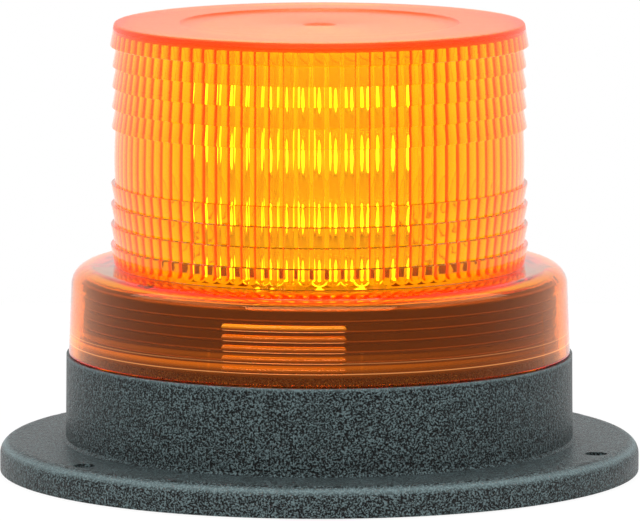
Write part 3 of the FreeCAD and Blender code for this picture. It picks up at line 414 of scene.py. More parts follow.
@dataclass(frozen=True)
class ClearAmber:
    """Clear amber moulding, which takes its colour from how far the light goes through it.

    The drum above the shoulder carries a faint painted glow, which stands for the lights inside it
    scattering in its walls. The grip ribs carry a brighter painted glow, for that light carried down the
    walls and let out, with painted light and shade on each rib: lit on its upper flank and towards -X,
    dim below, with a painted highlight along its lower edge and the top rib brightest. Lengths are in
    millimetres, and a place within a rib is a share of the ribs' pitch.
    """

    name: str
    depth_colour: Colour = (0.9995, 0.885, 0.04)
    density: float = 1200.0
    gloss_tint: Colour = (1.0, 0.36, 0.13)
    roughness: float = 0.03
    lid_roughness: float = 0.34
    lid_from: float = 110.4
    ior: float = 1.58
    # Painted glow colours: faint on the drum, brighter on the grip ribs, brightest on the top rib.
    glow: Colour = (0.075, 0.03, 0.0015)
    rib_glow: Colour = (0.72, 0.15, 0.004)
    rib_top: Colour = (0.95, 0.36, 0.01)
    # The colour of the painted highlight along each rib's lower edge.
    rib_lip_highlight: Colour = (1.0, 0.42, 0.14)
    rib_low: float = 33.2
    rib_pitch: float = 2.58
    rib_count: int = 5
    skirt_at_ribs: float = 62.35
    rib_proud: float = 0.25
    # How painted light and shade lie on each rib: dim below, lit on the upper flank, lighter towards -X,
    # highlight near the lower edge.
    rib_dim_below: float = 0.4
    rib_contrast: float = 2.4
    rib_side_light: float = 0.78
    rib_side_fall: float = 12.0
    rib_lip_at: float = 0.22
    rib_lip_fall: float = 14.0
    rib_lip_share: float = 0.8
    rib_dimmest: float = 0.08
    lid_blend: float = 0.4
    lid_grain: float = 0.1
    ripple_depth: float = 0.00006
    streaks: float = 0.1
    drum_tint: Colour = (1.0, 0.96, 0.9)
    skirt_tint: Colour = (1.0, 0.6, 0.5)
    glow_from: float = 50.0
    glow_to: float = 56.0

    def material(self) -> bpy.types.Material:
        """Build the material."""
        paint = Paint(self.name)
        ripple = paint.noise(120.0, 2.0)
        rise = (self.glow_to - self.glow_from) * MM
        lit = ((paint.z - self.glow_from * MM) / rise).clamped()
        # Base tint paler on the drum and deeper on the skirt, blending across the shoulder, with random
        # streaks.
        uneven = (paint.noise(35.0, 2.0) - 0.5) * self.streaks
        flow = paint.mix((lit + uneven).clamped(), self.skirt_tint, self.drum_tint)
        lid = ((paint.z - self.lid_from * MM) / (self.lid_blend * MM)).clamped()
        rougher = self.lid_roughness - self.roughness - self.lid_grain / 2
        satin = lid * (paint.noise(900.0) * self.lid_grain + rougher) + self.roughness
        shader = paint.node("BsdfPrincipled", None, {
            "Base Color": flow, "Roughness": satin, "IOR": self.ior,
            "Transmission Weight": 1.0, "Specular Tint": (*self.gloss_tint, 1.0),
            "Emission Color": self.glows(paint, lit), "Emission Strength": 1.0,
            "Normal": paint.bump(ripple, self.ripple_depth)})
        depth = paint.node("VolumeAbsorption", None, {"Color": (*self.depth_colour, 1.0),
                                                      "Density": self.density})
        paint.node("OutputMaterial", None, {"Surface": paint.wire(shader), "Volume": paint.wire(depth)})
        return paint.material

    def glows(self, paint: Paint, lit: Wire) -> Wire:
        """Give the colour of the painted glow on the drum and the grip ribs.

        Args:
            paint: The material.
            lit: 1 on the drum and 0 on the skirt.

        Returns:
            The glow's colour, with the ribs' own laid over the drum's.
        """
        radius = (paint.x * paint.x + paint.y * paint.y).root()
        proud = (radius - self.skirt_at_ribs * MM) / (self.rib_proud * MM)
        rows = (paint.z - self.rib_low * MM) / (self.rib_pitch * MM) + 0.5
        rib = proud.clamped() * (rows > 0.0) * (rows < float(self.rib_count))
        step = rows.fraction()
        # Painted light and shade on the ribs: lighter towards -X, shaded on the lower flank of each rib.
        side = (self.rib_side_light - paint.x * self.rib_side_fall).clamped()
        upper = ((step - self.rib_dim_below) * self.rib_contrast).clamped() * side
        # Painted highlight along each rib's lower edge.
        off_lip = step - self.rib_lip_at
        lip = (1.0 - (off_lip * off_lip).root() * self.rib_lip_fall).clamped()
        # Faint painted glow on the drum, then the ribs' brighter painted glow over it.
        glow = paint.mix(lit, (0.0, 0.0, 0.0), self.glow)
        glow = paint.blend(rib * (upper * (1 - self.rib_dimmest) + self.rib_dimmest), glow, self.rib_glow)
        # The top rib's upper flank is painted brighter still.
        glow = paint.blend(rib * upper * (rows > float(self.rib_count - 1)), glow, self.rib_top)
        return paint.blend(rib * lip * self.rib_lip_share, glow, self.rib_lip_highlight)


@dataclass(frozen=True)
class LitBoard:
    """White solder mask with painted light: a glow in bands along the rows of lights on it.

    Lengths are in millimetres.
    """

    name: str
    colour: Colour
    glow: Colour
    first_row: float
    row_pitch: float
    strength: float = 0.56
    floor: float = 0.24

    def material(self) -> bpy.types.Material:
        """Build the material."""
        paint = Paint(self.name)
        # Painted light: the board glows in a band around each row of lights, falling to a floor between
        # rows.
        rows = (paint.z - self.first_row * MM) / (self.row_pitch * MM)
        away = ((rows + 0.5).fraction() - 0.5) * 2.0
        halo = 1.0 - (away * away).root()
        lit = (halo * halo * (1 - self.floor) + self.floor).clamped()
        flow = paint.noise(260.0, 3.0)
        dark = tuple(0.9 * value for value in self.colour)
        return paint.finish(Base_Colour=paint.mix(flow, dark, self.colour), Roughness=0.35,
                            Emission_Colour=paint.mix(lit, (0.0, 0.0, 0.0), self.glow),
                            Emission_Strength=self.strength,
                            Normal=paint.bump(paint.noise(1800.0), 0.00001))


@dataclass(frozen=True)
class Phosphor:
    """A light's glowing window, hottest in its middle."""

    name: str
    core: Colour
    rim: Colour
    halo: Colour
    strength: float
    peak: float = 0.6

    def material(self) -> bpy.types.Material:
        """Build the material."""
        paint = Paint(self.name)
        heat = paint.attribute("heat").clamped()
        grain = paint.noise(3000.0) * 0.2 + 0.9
        bright = heat * (heat * self.peak + (1 - self.peak)) * grain
        return paint.finish(Base_Colour=paint.mix(heat * grain, self.rim, self.core), Roughness=0.3,
                            Emission_Colour=paint.mix(bright, self.halo, self.core),
                            Emission_Strength=self.strength)


class Palette:
    """Every finish of the beacon, made once and handed out by slot."""

    def __init__(self, finishes: dict[Slot, Finish]) -> None:
        """Build the material of each finish."""
        self.materials = {slot: finish.material() for slot, finish in finishes.items()}

    def of(self, slot: Slot) -> bpy.types.Material:
        """Give the material of a slot."""
        return self.materials[slot]


# ---- meshes -------------------------------------------------------------------------------------
@dataclass
class Lathe:
    """A closed surface turned about the upright axis, as rings of points."""

    columns: int
    rings: list[np.ndarray] = field(default_factory=list)

    def ring(self, radius: float, height: float) -> None:
        """Add a ring at a radius and a height in millimetres."""
        turn = np.arange(self.columns) * 2 * math.pi / self.columns
        self.rings.append(np.stack([radius * np.cos(turn), radius * np.sin(turn),
                                    np.full(self.columns, height)], axis=1))

    def run(self, points: Outline) -> None:
        """Add rings through several points of radius and height."""
        for radius, height in points:
            self.ring(radius, height)

    def mesh(self, name: str, poles: Optional[tuple[float, float]] = None) -> bpy.types.Object:
        """Join the rings into one closed surface.

        Args:
            name: The new object's name.
            poles: Heights of the first and last point on the axis. With None, the last ring joins the first.

        Returns:
            The object, at the origin.
        """
        count = len(self.rings)
        points = np.concatenate(self.rings) * MM
        index = np.arange(count * self.columns).reshape(count, self.columns)
        faces = []
        follow = np.roll(index, -1, axis=1)
        last = count - 1 if poles else count
        for row in range(last):
            under = (row + 1) % count
            faces.append(np.stack([index[row], index[under], follow[under], follow[row]], axis=1))
        quads = np.concatenate(faces).tolist()
        verts = points.tolist()
        if poles:
            verts += [(0, 0, poles[0] * MM), (0, 0, poles[1] * MM)]
            first = len(verts) - 2
            quads += [(first, a, b) for a, b in zip(index[0], follow[0])]
            quads += [(first + 1, b, a) for a, b in zip(index[-1], follow[-1])]
        return new_object(name, verts, quads)


def new_object(name: str, verts: Sequence, faces: Sequence) -> bpy.types.Object:
    """Make an object from points in metres and faces, with its normals pointing outwards."""
    mesh = bpy.data.meshes.new(name)
    mesh.from_pydata(verts, [], [tuple(int(i) for i in face) for face in faces])
    shape = bmesh.new()
    shape.from_mesh(mesh)
    bmesh.ops.recalc_face_normals(shape, faces=shape.faces)
    if shape.calc_volume(signed=True) < 0:
        bmesh.ops.reverse_faces(shape, faces=shape.faces)
    shape.to_mesh(mesh)
    shape.free()
    thing = bpy.data.objects.new(name, mesh)
    bpy.context.scene.collection.objects.link(thing)
    return thing


def smooth(thing: bpy.types.Object, degrees: float = 30.0) -> None:
    """Shade smooth, with edges sharper than an angle kept."""
    thing.data.shade_smooth()
    thing.data.set_sharp_from_angle(angle=math.radians(degrees))


def corner(centre: tuple[float, float], radius: float, start: float, end: float,
           steps: int) -> Outline:
    """Give points on an arc of the outline, from one angle in degrees to another."""
    angles = [math.radians(start + (end - start) * step / steps) for step in range(steps + 1)]
    return [(centre[0] + radius * math.cos(a), centre[1] + radius * math.sin(a)) for a in angles]


def islands(node: str) -> list[np.ndarray]:
    """Give the points of each separate solid of a frame node, in metres."""
    shape = bmesh.new()
    shape.from_mesh(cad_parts[node].data)
    bmesh.ops.remove_doubles(shape, verts=shape.verts, dist=1e-6)
    seen: set[int] = set()
    groups = []
    for start in shape.verts:
        if start.index in seen:
            continue
        seen.add(start.index)
        group, queue = [], [start]
        while queue:
            here = queue.pop()
            group.append(tuple(here.co))
            for edge in here.link_edges:
                other = edge.other_vert(here)
                if other.index not in seen:
                    seen.add(other.index)
                    queue.append(other)
        groups.append(np.array(group))
    shape.free()
    return groups


@dataclass
class Repeat:
    """Repeats one small piece at many places with a geometry tree, and leaves one plain mesh."""

    name: str
    places: list[tuple[float, float, float]]
    turns: list[tuple[float, float, float]]
    spin: float = 0.0
    seed: int = 7

    def tree(self) -> bpy.types.NodeTree:
        """Build the tree that sets a copy of the piece on every point."""
        group = bpy.data.node_groups.new(self.name + "_repeat", "GeometryNodeTree")
        face = group.interface
        for name, kind in (("Geometry", "Geometry"), ("Piece", "Object"), ("Spin", "Float"),
                           ("Seed", "Int"), ("Material", "Material")):
            face.new_socket(name, in_out="INPUT", socket_type="NodeSocket" + kind)
        face.new_socket("Geometry", in_out="OUTPUT", socket_type="NodeSocketGeometry")
        build = Tree(group, "GeometryNode")
        given = build.node("=NodeGroupInput")
        turn = build.node("InputNamedAttribute", {"data_type": "FLOAT_VECTOR"}, {"Name": "turn"})
        chance = build.node("=FunctionNodeRandomValue", {"data_type": "FLOAT"},
                            {2: 0.0, 3: build.wire(given, "Spin"), 8: build.wire(given, "Seed")})
        spun = build.node("=ShaderNodeCombineXYZ", None, {2: build.wire(chance, 1)})
        facing = build.node("=ShaderNodeVectorMath", {"operation": "ADD"},
                            {0: build.wire(turn), 1: build.wire(spun)})
        piece = build.node("ObjectInfo", None, {"Object": build.wire(given, "Piece")})
        copies = build.node("InstanceOnPoints", None, {
            "Points": build.wire(given, "Geometry"), "Instance": build.wire(piece, "Geometry"),
            "Rotation": build.wire(facing)})
        real = build.node("RealizeInstances", None, {"Geometry": build.wire(copies)})
        dressed = build.node("SetMaterial", None, {"Geometry": build.wire(real),
                                                   "Material": build.wire(given, "Material")})
        build.node("=NodeGroupOutput", None, {"Geometry": build.wire(dressed)})
        return group

    def of(self, piece: bpy.types.Object, finish: bpy.types.Material) -> bpy.types.Object:
        """Repeat a piece and remove the pattern.

        Args:
            piece: The pattern, which is deleted afterwards.
            finish: The material of the copies.

        Returns:
            One object that holds every copy.
        """
        mesh = bpy.data.meshes.new(self.name)
        mesh.from_pydata(self.places, [], [])
        turns = mesh.attributes.new("turn", "FLOAT_VECTOR", "POINT")
        turns.data.foreach_set("vector", np.array(self.turns, float).ravel())
        thing = bpy.data.objects.new(self.name, mesh)
        bpy.context.scene.collection.objects.link(thing)
        run_tree(thing, self.tree(), {"Piece": piece, "Spin": self.spin, "Seed": self.seed,
                                      "Material": finish})
        bpy.data.objects.remove(piece)
        return thing


@dataclass
class SubAssembly:
    """A group of pieces that belong together, with the finish of each frame node in it."""

    palette: Palette
    nodes: dict[str, Slot] = field(default_factory=dict)

    def dress(self) -> None:
        """Give every frame node of the group its finish, and report it."""
        for node, slot in self.nodes.items():
            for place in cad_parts[node].material_slots:
                place.material = self.palette.of(slot)
            log.info("%s dressed as %s", node, slot.value)

    def build(self) -> None:
        """Make the group's own meshes, where it has any, and dress its nodes."""
        self.dress()

    def claim(self, piece: bpy.types.Object, body: str, slot: Slot, *nodes: str) -> None:
        """Let a finished piece ride on a body in place of frame nodes, and report it.

        Args:
            piece: The finished piece.
            body: The body that carries it.
            slot: The slot of its finish. It is not used.
            *nodes: The nodes that it stands for.
        """
        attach(piece, body)
        if nodes:
            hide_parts(*nodes)
        log.info("%s rides on %s with %d faces", piece.name, body, len(piece.data.polygons))


def run_tree(thing: bpy.types.Object, tree: bpy.types.NodeTree, values: dict) -> bpy.types.Object:
    """Run a geometry tree on an object and leave a plain mesh.

    Args:
        thing: The object whose mesh the tree takes.
        tree: The geometry tree.
        values: The tree's inputs, by name.

    Returns:
        The same object, with the tree's result as its mesh.
    """
    modifier = thing.modifiers.new(tree.name, "NODES")
    modifier.node_group = tree
    for item in tree.interface.items_tree:
        if item.item_type == "SOCKET" and item.in_out == "INPUT" and item.name in values:
            modifier[item.identifier] = values[item.name]
    bpy.context.view_layer.update()
    graph = bpy.context.evaluated_depsgraph_get()
    result = bpy.data.meshes.new_from_object(thing.evaluated_get(graph), depsgraph=graph)
    thing.modifiers.remove(modifier)
    thing.data = result
    return thing


def join(thing: bpy.types.Object, other: bpy.types.Object) -> None:
    """Unite a second closed mesh with a first one and remove the second."""
    cut = thing.modifiers.new("join", "BOOLEAN")
    cut.operation = "UNION"
    cut.solver = "MANIFOLD"
    cut.object = other
    bpy.context.view_layer.update()
    graph = bpy.context.evaluated_depsgraph_get()
    result = bpy.data.meshes.new_from_object(thing.evaluated_get(graph), depsgraph=graph)
    thing.modifiers.remove(cut)
    thing.data = result
    bpy.data.objects.remove(other)


# ---- lens ---------------------------------------------------------------------------------------
@dataclass
class Lens(SubAssembly):
    """The one-piece amber lens: skirt, shoulder, ringed drum with inner flutes, and lid.

    All sizes are in millimetres.
    """

    seam: float = 29.25
    skirt_foot: float = 62.7
    skirt_top: float = 62.0
    skirt_wall: float = 2.3
    shoulder: float = 51.5
    shoulder_round: float = 5.0
    shoulder_wall: float = 2.3
    drum_foot: float = 52.2
    drum_draft: float = 0.012
    ring_pitch: float = 5.1
    ring_step: float = 0.95
    lip_draft: float = 0.02
    lip_face: float = 0.22
    lip_bevel: float = 0.08
    lip_round: float = 0.12
    root_round: float = 0.08
    root_bevel: float = 0.1
    rings_below: int = 4
    rings_above: int = 4
    foot_band: float = 5.2
    middle_band: float = 14.0
    middle_bulge: float = 0.25
    cap_band: float = 5.6
    cap_out: float = 0.6
    cap_lean: float = 0.9
    lid_wall: float = 2.5
    lid_round: float = 0.6
    recess: float = 34.5
    recess_depth: float = 0.6
    gate: float = 4.2
    gate_depth: float = 0.5
    drum_wall: float = 1.6
    flutes: int = 90
    flute_height: float = 0.6
    flute_foot: float = 54.3
    columns: int = 720
    grip_turn: float = -98.2
    grip_half_sweep: float = 14.3
    grip_low: float = 33.2
    grip_pitch: float = 2.58
    grip_height: float = 0.8
    grip_width: float = 1.7
    grip_count: int = 5
    grip_root: float = 0.5
    grip_steps: int = 60
    grip_taper: float = 0.03
    grip_section: int = 13
    witness_turns: tuple[float, ...] = (-115.5, -80.5, -27.5)
    witness_height: float = 0.05
    skirt_rows: tuple[float, ...] = (46.0, 42.0, 38.0, 34.0, 31.0)
    wall_shares: tuple[float, ...] = (0.015, 0.25, 0.5, 0.75, 0.985)
    band_steps: int = 8
    boss_radius: float = 3.3
    boss_hole: float = 1.6
    boss_hole_depth: float = 14.0
    boss_bevel: float = 0.2
    boss_circle: float = 51.5
    boss_azimuths: tuple[float, ...] = (98.5, 218.5, 338.5)
    boss_foot: float = 29.05
    boss_columns: int = 40
    top: float = 0.0

    def __post_init__(self) -> None:
        """Take the top from the frame."""
        self.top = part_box("lens")[1].z / MM

    def drum(self, height: float) -> float:
        """Radius of the drum's lips at a height."""
        return self.drum_foot - self.drum_draft * (height - self.shoulder)

    def bore(self) -> float:
        """Radius of the drum's inner wall between its flutes."""
        return self.drum(self.top) - self.ring_step - self.drum_wall

    def lip_at(self, height: float, way: int) -> Outline:
        """Give a ring's lip at a height, from its face to its edge.

        Args:
            height: Where the edge is.
            way: 1 where the face lies above the edge, and -1 where it lies below.

        Returns:
            Points of radius and height.
        """
        lip = self.drum(height)
        return [(lip - self.lip_draft, height + way * self.lip_face),
                (lip - self.lip_draft, height + way * self.lip_bevel), (lip - self.lip_round, height)]

    def root_at(self, root: float, height: float, way: int) -> Outline:
        """Give the foot of a ring's step at a height.

        Args:
            root: Radius behind the step.
            height: Where the step is.
            way: 1 where the wall goes on above the step, and -1 where it goes on below.

        Returns:
            Points of radius and height, from the step along the wall.
        """
        return [(root + self.root_round, height), (root, height + way * self.root_bevel)]

    def outer(self) -> Outline:
        """Outline of the outside, from the lid's middle down to the skirt's foot."""
        recess_floor = self.top - self.recess_depth
        gate_floor = recess_floor - self.gate_depth
        cap = self.drum(self.top - self.cap_band) + self.cap_out
        lid = cap - self.cap_lean
        points = [(self.gate * 0.7, gate_floor), (self.gate - 0.5, gate_floor + 0.1)]
        points += [(self.gate, recess_floor - 0.05), (self.gate + 0.3, recess_floor)]
        points += [(self.recess - 6.0, recess_floor), (self.recess - 0.4, recess_floor)]
        points += [(self.recess, recess_floor + 0.2), (self.recess + 0.4, self.top - 0.03)]
        points += [(self.recess + 1.0, self.top), (lid - 4.0, self.top)]
        points += corner((lid - self.lid_round, self.top - self.lid_round), self.lid_round, 90, 8, 5)
        low = self.top - self.cap_band
        points += [(cap - 0.04, low + 0.3), (cap, low + 0.12), (cap - 0.1, low)]
        height = low
        for _ in range(self.rings_above):
            points += self.root_at(self.drum(height) - self.ring_step, height, -1)
            height -= self.ring_pitch
            points += self.lip_at(height, 1)
        band_top = height
        band_low = band_top - self.middle_band
        points.append((self.drum(band_top) - self.ring_step, band_top - 0.02))
        for step in range(1, self.band_steps):
            share = step / self.band_steps
            here = band_top - share * self.middle_band
            rise = self.middle_bulge * 4 * share * (1 - share)
            points.append((self.drum(here) - self.ring_step + rise, here))
        height = band_low
        points.append((self.drum(height) - self.ring_step, height + 0.02))
        for index in range(self.rings_below):
            root = self.drum(height) - self.ring_step
            points += reversed(self.lip_at(height, -1))
            height -= self.ring_pitch if index < self.rings_below - 1 else self.foot_band
            points += reversed(self.root_at(root, height, 1))
        points += [(self.drum_foot + 1.5, self.shoulder),
                   (self.skirt_top - self.shoulder_round, self.shoulder)]
        points += corner((self.skirt_top - self.shoulder_round, self.shoulder - self.shoulder_round),
                         self.shoulder_round, 80, 0, 8)
        points += [(self.skirt_at(height), height) for height in self.skirt_rows]
        points += [(self.skirt_foot, self.seam + 0.25), (self.skirt_foot - 0.2, self.seam)]
        return points

    def skirt_at(self, height: float) -> float:
        """Radius of the skirt's outside at a height."""
        share = (height - self.seam) / (self.shoulder - self.shoulder_round - self.seam)
        return self.skirt_foot + (self.skirt_top - self.skirt_foot) * share

    def inner(self) -> Outline:
        """Outline of the inside, from the skirt's foot up to the lid's middle."""
        inside = self.skirt_wall
        under = self.shoulder - self.shoulder_wall
        turn = self.shoulder_round - inside
        wall = self.skirt_top - inside
        points = [(self.skirt_foot - inside + 0.15, self.seam), (self.skirt_foot - inside, self.seam + 0.2)]
        low, high = self.seam + 0.2, under - turn
        for share in self.wall_shares:
            points.append((self.skirt_foot - inside + (wall - self.skirt_foot + inside) * share,
                           low + (high - low) * share))
        points += corner((wall - turn, under - turn), turn, 0, 90, 6)
        points += [(self.bore() + 1.0, under), (self.bore() + 0.2, under + 0.1), (self.bore(), under + 0.5)]
        feet = np.linspace(self.flute_foot - 1.9, self.flute_foot + 0.1, 9)
        points += [(self.bore(), float(height)) for height in feet]
        ceiling = self.top - self.lid_wall
        points += [(self.bore(), ceiling - 20.0), (self.bore(), ceiling - 0.3)]
        points += [(self.bore() - 1.6, ceiling), (self.bore() - 6.0, ceiling), (4.0, ceiling)]
        return points

    def body(self) -> bpy.types.Object:
        """Turn the outline into one closed mesh, before its flutes and grip."""
        lathe = Lathe(self.columns)
        lathe.run(self.outer())
        lathe.run(self.inner())
        gate_floor = self.top - self.recess_depth - self.gate_depth
        return lathe.mesh("amber_lens", poles=(gate_floor, self.top - self.lid_wall))

    def relief(self) -> bpy.types.NodeTree:
        """Build the node tree that raises the flutes and the mould's lines from the turned body."""
        tree = bpy.data.node_groups.new("lens_relief", "GeometryNodeTree")
        face = tree.interface
        face.new_socket("Geometry", in_out="INPUT", socket_type="NodeSocketGeometry")
        for name in ("Flutes", "Flute Height", "Flute Foot", "Bore"):
            face.new_socket(name, in_out="INPUT", socket_type="NodeSocketFloat")
        face.new_socket("Witness Height", in_out="INPUT", socket_type="NodeSocketFloat")
        face.new_socket("Material", in_out="INPUT", socket_type="NodeSocketMaterial")
        face.new_socket("Geometry", in_out="OUTPUT", socket_type="NodeSocketGeometry")
        build = Tree(tree, "GeometryNode")
        given = build.node("=NodeGroupInput")
        place = build.node("InputPosition")
        parts = build.node("=ShaderNodeSeparateXYZ", None, {0: build.wire(place)})
        x, y, z = (build.wire(parts, axis) for axis in "XYZ")
        radius = (x * x + y * y).root()
        turn = y.angle_with(x)

        def entry(name: str) -> Wire:
            """Give one of the tree's inputs."""
            return build.wire(given, name)

        across = (turn * entry("Flutes") / (2 * math.pi) + 0.25 / self.columns).fraction() * 2.0 - 1.0
        half = entry("Bore") * math.pi / entry("Flutes")
        below = (entry("Flute Foot") - z).largest(0.0) / half
        away = (across * across + below * below).root().smallest(1.0)
        tall = entry("Flute Height")
        arc = (half * half + tall * tall) / (tall * 2.0)
        flute = ((arc * arc - away * away * half * half).largest(0.0).root() - (arc - tall)).largest(0.0)
        on_bore = radius - entry("Bore")
        inside = ((on_bore * on_bore) < (0.3 * MM) ** 2) * (z > entry("Flute Foot") - half * 1.1)
        on_skirt = (radius > (self.skirt_top - 0.4) * MM) * (z < (self.shoulder - self.shoulder_round) * MM)
        line = self.witness(turn) * on_skirt * entry("Witness Height")
        rise = line - flute * inside
        unit = build.node("=ShaderNodeCombineXYZ", None,
                          {0: x / radius * rise, 1: y / radius * rise, 2: 0.0})
        moved = build.node("SetPosition", None, {"Geometry": build.wire(given, "Geometry"),
                                                 "Offset": build.wire(unit)})
        real = build.node("RealizeInstances", None, {"Geometry": build.wire(moved)})
        dressed = build.node("SetMaterial", None, {"Geometry": build.wire(real),
                                                   "Material": entry("Material")})
        build.node("=NodeGroupOutput", None, {"Geometry": build.wire(dressed)})
        return tree

    def witness(self, turn: Wire) -> Wire:
        """Give 1 on the mould's fine upright lines on the skirt, one column of points wide."""
        half = math.pi / self.columns
        marks: Union[Wire, float] = 0.0
        for azimuth in self.witness_turns:
            away = turn - math.radians(azimuth)
            marks = ((away * away) < half * half) + marks
        return marks

    def bosses(self) -> bpy.types.Object:
        """Make the three screw bosses that stand under the shoulder, as one mesh."""
        under = self.shoulder - self.shoulder_wall / 2
        foot, top = self.boss_foot, under
        lathe = Lathe(self.boss_columns)
        bevel, deep = self.boss_bevel, foot + self.boss_hole_depth
        lathe.run([(self.boss_hole, deep), (self.boss_hole, foot + bevel), (self.boss_hole + bevel, foot),
                   (self.boss_radius - bevel, foot), (self.boss_radius, foot + bevel),
                   (self.boss_radius, top)])
        pattern = lathe.mesh("boss_pattern", poles=(deep, top))
        places = [(self.boss_circle * MM * math.cos(math.radians(a)),
                   self.boss_circle * MM * math.sin(math.radians(a)), 0.0) for a in self.boss_azimuths]
        repeat = Repeat("lens_bosses", places, [(0.0, 0.0, 0.0)] * len(places))
        return repeat.of(pattern, self.palette.of(Slot.LENS_AMBER))

    def grip(self) -> bpy.types.Object:
        """Make the raised grip ribs on the skirt, as one mesh."""
        half = self.grip_width / 2
        wall = self.skirt_at(self.grip_low + (self.grip_count - 1) * self.grip_pitch / 2)
        section = [(-self.grip_root, half)]
        section += [(self.grip_height * math.cos(a), half * math.sin(a))
                    for a in np.linspace(math.pi / 2, -math.pi / 2, self.grip_section)]
        section.append((-self.grip_root, -half))
        verts, faces = [], []
        around = len(section)
        for step in range(self.grip_steps + 1):
            share = step / self.grip_steps
            end = min(share, 1 - share)
            scale = math.sqrt(max(1 - (1 - min(end / self.grip_taper, 1.0)) ** 2, 0.02))
            turn = math.radians(self.grip_turn + self.grip_half_sweep * (2 * share - 1))
            for out, up in section:
                radius = (wall + (out * scale if out > 0 else out)) * MM
                verts.append((radius * math.cos(turn), radius * math.sin(turn), up * scale * MM))
            if step:
                low = (step - 1) * around
                pairs = [(low + k, low + (k + 1) % around) for k in range(around)]
                faces += [(here, after, after + around, here + around) for here, after in pairs]
        last = self.grip_steps * around
        faces += [tuple(range(around)), tuple(last + k for k in reversed(range(around)))]
        pattern = new_object("grip_pattern", verts, faces)
        places = [(0.0, 0.0, (self.grip_low + index * self.grip_pitch) * MM)
                  for index in range(self.grip_count)]
        repeat = Repeat("grip_ribs", places, [(0.0, 0.0, 0.0)] * len(places))
        return repeat.of(pattern, self.palette.of(Slot.LENS_AMBER))

    def build(self) -> None:
        """Make the finished lens and let it ride on its body."""
        finish = self.palette.of(Slot.LENS_AMBER)
        thing = run_tree(self.body(), self.relief(), {
            "Flutes": float(self.flutes), "Flute Height": self.flute_height * MM,
            "Flute Foot": self.flute_foot * MM, "Bore": self.bore() * MM,
            "Witness Height": self.witness_height * MM, "Material": finish})
        join(thing, self.bosses())
        join(thing, self.grip())
        smooth(thing, 35.0)
        self.claim(thing, "lens", Slot.LENS_AMBER, "lens")


# ---- housing ------------------------------------------------------------------------------------
@dataclass
class Housing(SubAssembly):
    """The flanged housing, the plate that closes it, its grommet and its seals."""

    nodes: dict[str, Slot] = field(default_factory=lambda: {
        "base_housing": Slot.HOUSING, "base_plate": Slot.INNER_BLACK, "cable_grommet": Slot.RUBBER,
        "mounting_seal": Slot.FOAM, "lens_seal": Slot.SEAL_RUBBER, "deck_cover": Slot.DECK_BLACK})
    ring_columns: int = 240
    ring_radius: float = 58.94
    ring_inside: float = 57.65
    ring_low: float = 33.1
    ring_high: float = 47.1
    ring_bevel: float = 1.2
    groove_first: float = 34.6
    groove_pitch: float = 2.5
    groove_depth: float = 0.4
    groove_count: int = 5

    def collar_rings(self) -> bpy.types.Object:
        """Make the collar's finely turned outer skin, as one closed ring."""
        run = [(self.ring_inside, self.ring_low), (self.ring_radius - 0.05, self.ring_low),
               (self.ring_radius, self.ring_low + 0.05)]
        for index in range(self.groove_count):
            middle = self.groove_first + index * self.groove_pitch
            run += [(self.ring_radius - (1 - abs(step)) * self.groove_depth,
                     middle + step * self.groove_depth) for step in (-1.0, -0.4, 0.0, 0.4, 1.0)]
        run += [(self.ring_radius, self.ring_high), (self.ring_radius - 0.1, self.ring_high + 0.14),
                (self.ring_radius - self.ring_bevel, self.ring_high + self.ring_bevel),
                (self.ring_inside, self.ring_high + self.ring_bevel)]
        lathe = Lathe(self.ring_columns)
        lathe.run(run)
        thing = lathe.mesh("collar_rings")
        smooth(thing)
        return thing

    def build(self) -> None:
        """Make the collar's skin and dress the housing."""
        rings = self.collar_rings()
        # The third colour is the painted highlight along the collar's ring lips.
        finish = RingedPlastic("collar_black", (0.022, 0.016, 0.014), (0.3, 0.2, 0.16),
                               self.groove_first + self.groove_depth, self.groove_pitch)
        rings.data.materials.append(finish.material())
        self.claim(rings, "base", Slot.HOUSING)
        self.dress()


# ---- fasteners ----------------------------------------------------------------------------------
@dataclass
class PanScrew:
    """A pan-head screw with a cross recess, drawn with its head up and its seat at height zero.

    Lengths are in metres.
    """

    head: float
    rise: float
    shank: float
    length: float
    columns: int = 48
    rings: int = 9
    crown: float = 0.85
    arm: float = 0.62
    arm_width: float = 0.2
    recess: float = 0.6
    side_slope: float = 0.35
    end_slope: float = 0.25
    edge: float = 0.15
    edge_inset: float = 0.95

    def top_height(self, x: np.ndarray, y: np.ndarray) -> np.ndarray:
        """Height of the head's top over a point, with its cross recess."""
        wide, long = self.arm_width * self.head, self.arm * self.head
        across = np.minimum(np.abs(x), np.abs(y))
        along = np.maximum(np.abs(x), np.abs(y))
        beside = np.clip((wide - across) / (self.side_slope * wide), 0, 1)
        before = np.clip((long - along) / (self.end_slope * long), 0, 1)
        return self.rise - self.recess * self.rise * (beside * before)

    def pattern(self) -> bpy.types.Object:
        """Build the screw at the origin."""
        turn = np.arange(self.columns) * 2 * math.pi / self.columns
        flat = self.head * self.crown
        rows = []
        for ring in range(1, self.rings + 1):
            radius = flat * ring / self.rings
            x, y = radius * np.cos(turn), radius * np.sin(turn)
            rows.append(np.stack([x, y, self.top_height(x, y)], axis=1))
        bevel = self.rise * self.edge
        brim = self.head * self.edge_inset
        for radius, height in ((brim, self.rise - bevel), (self.head, bevel), (self.head, 0.0),
                               (self.shank, 0.0), (self.shank, -self.length)):
            rows.append(np.stack([radius * np.cos(turn), radius * np.sin(turn),
                                  np.full(self.columns, height)], axis=1))
        lathe = Lathe(self.columns)
        lathe.rings = [row / MM for row in rows]
        floor = self.rise * (1 - self.recess)
        thing = lathe.mesh("screw_pattern", poles=(floor / MM, -self.length / MM))
        smooth(thing, 30.0)
        return thing


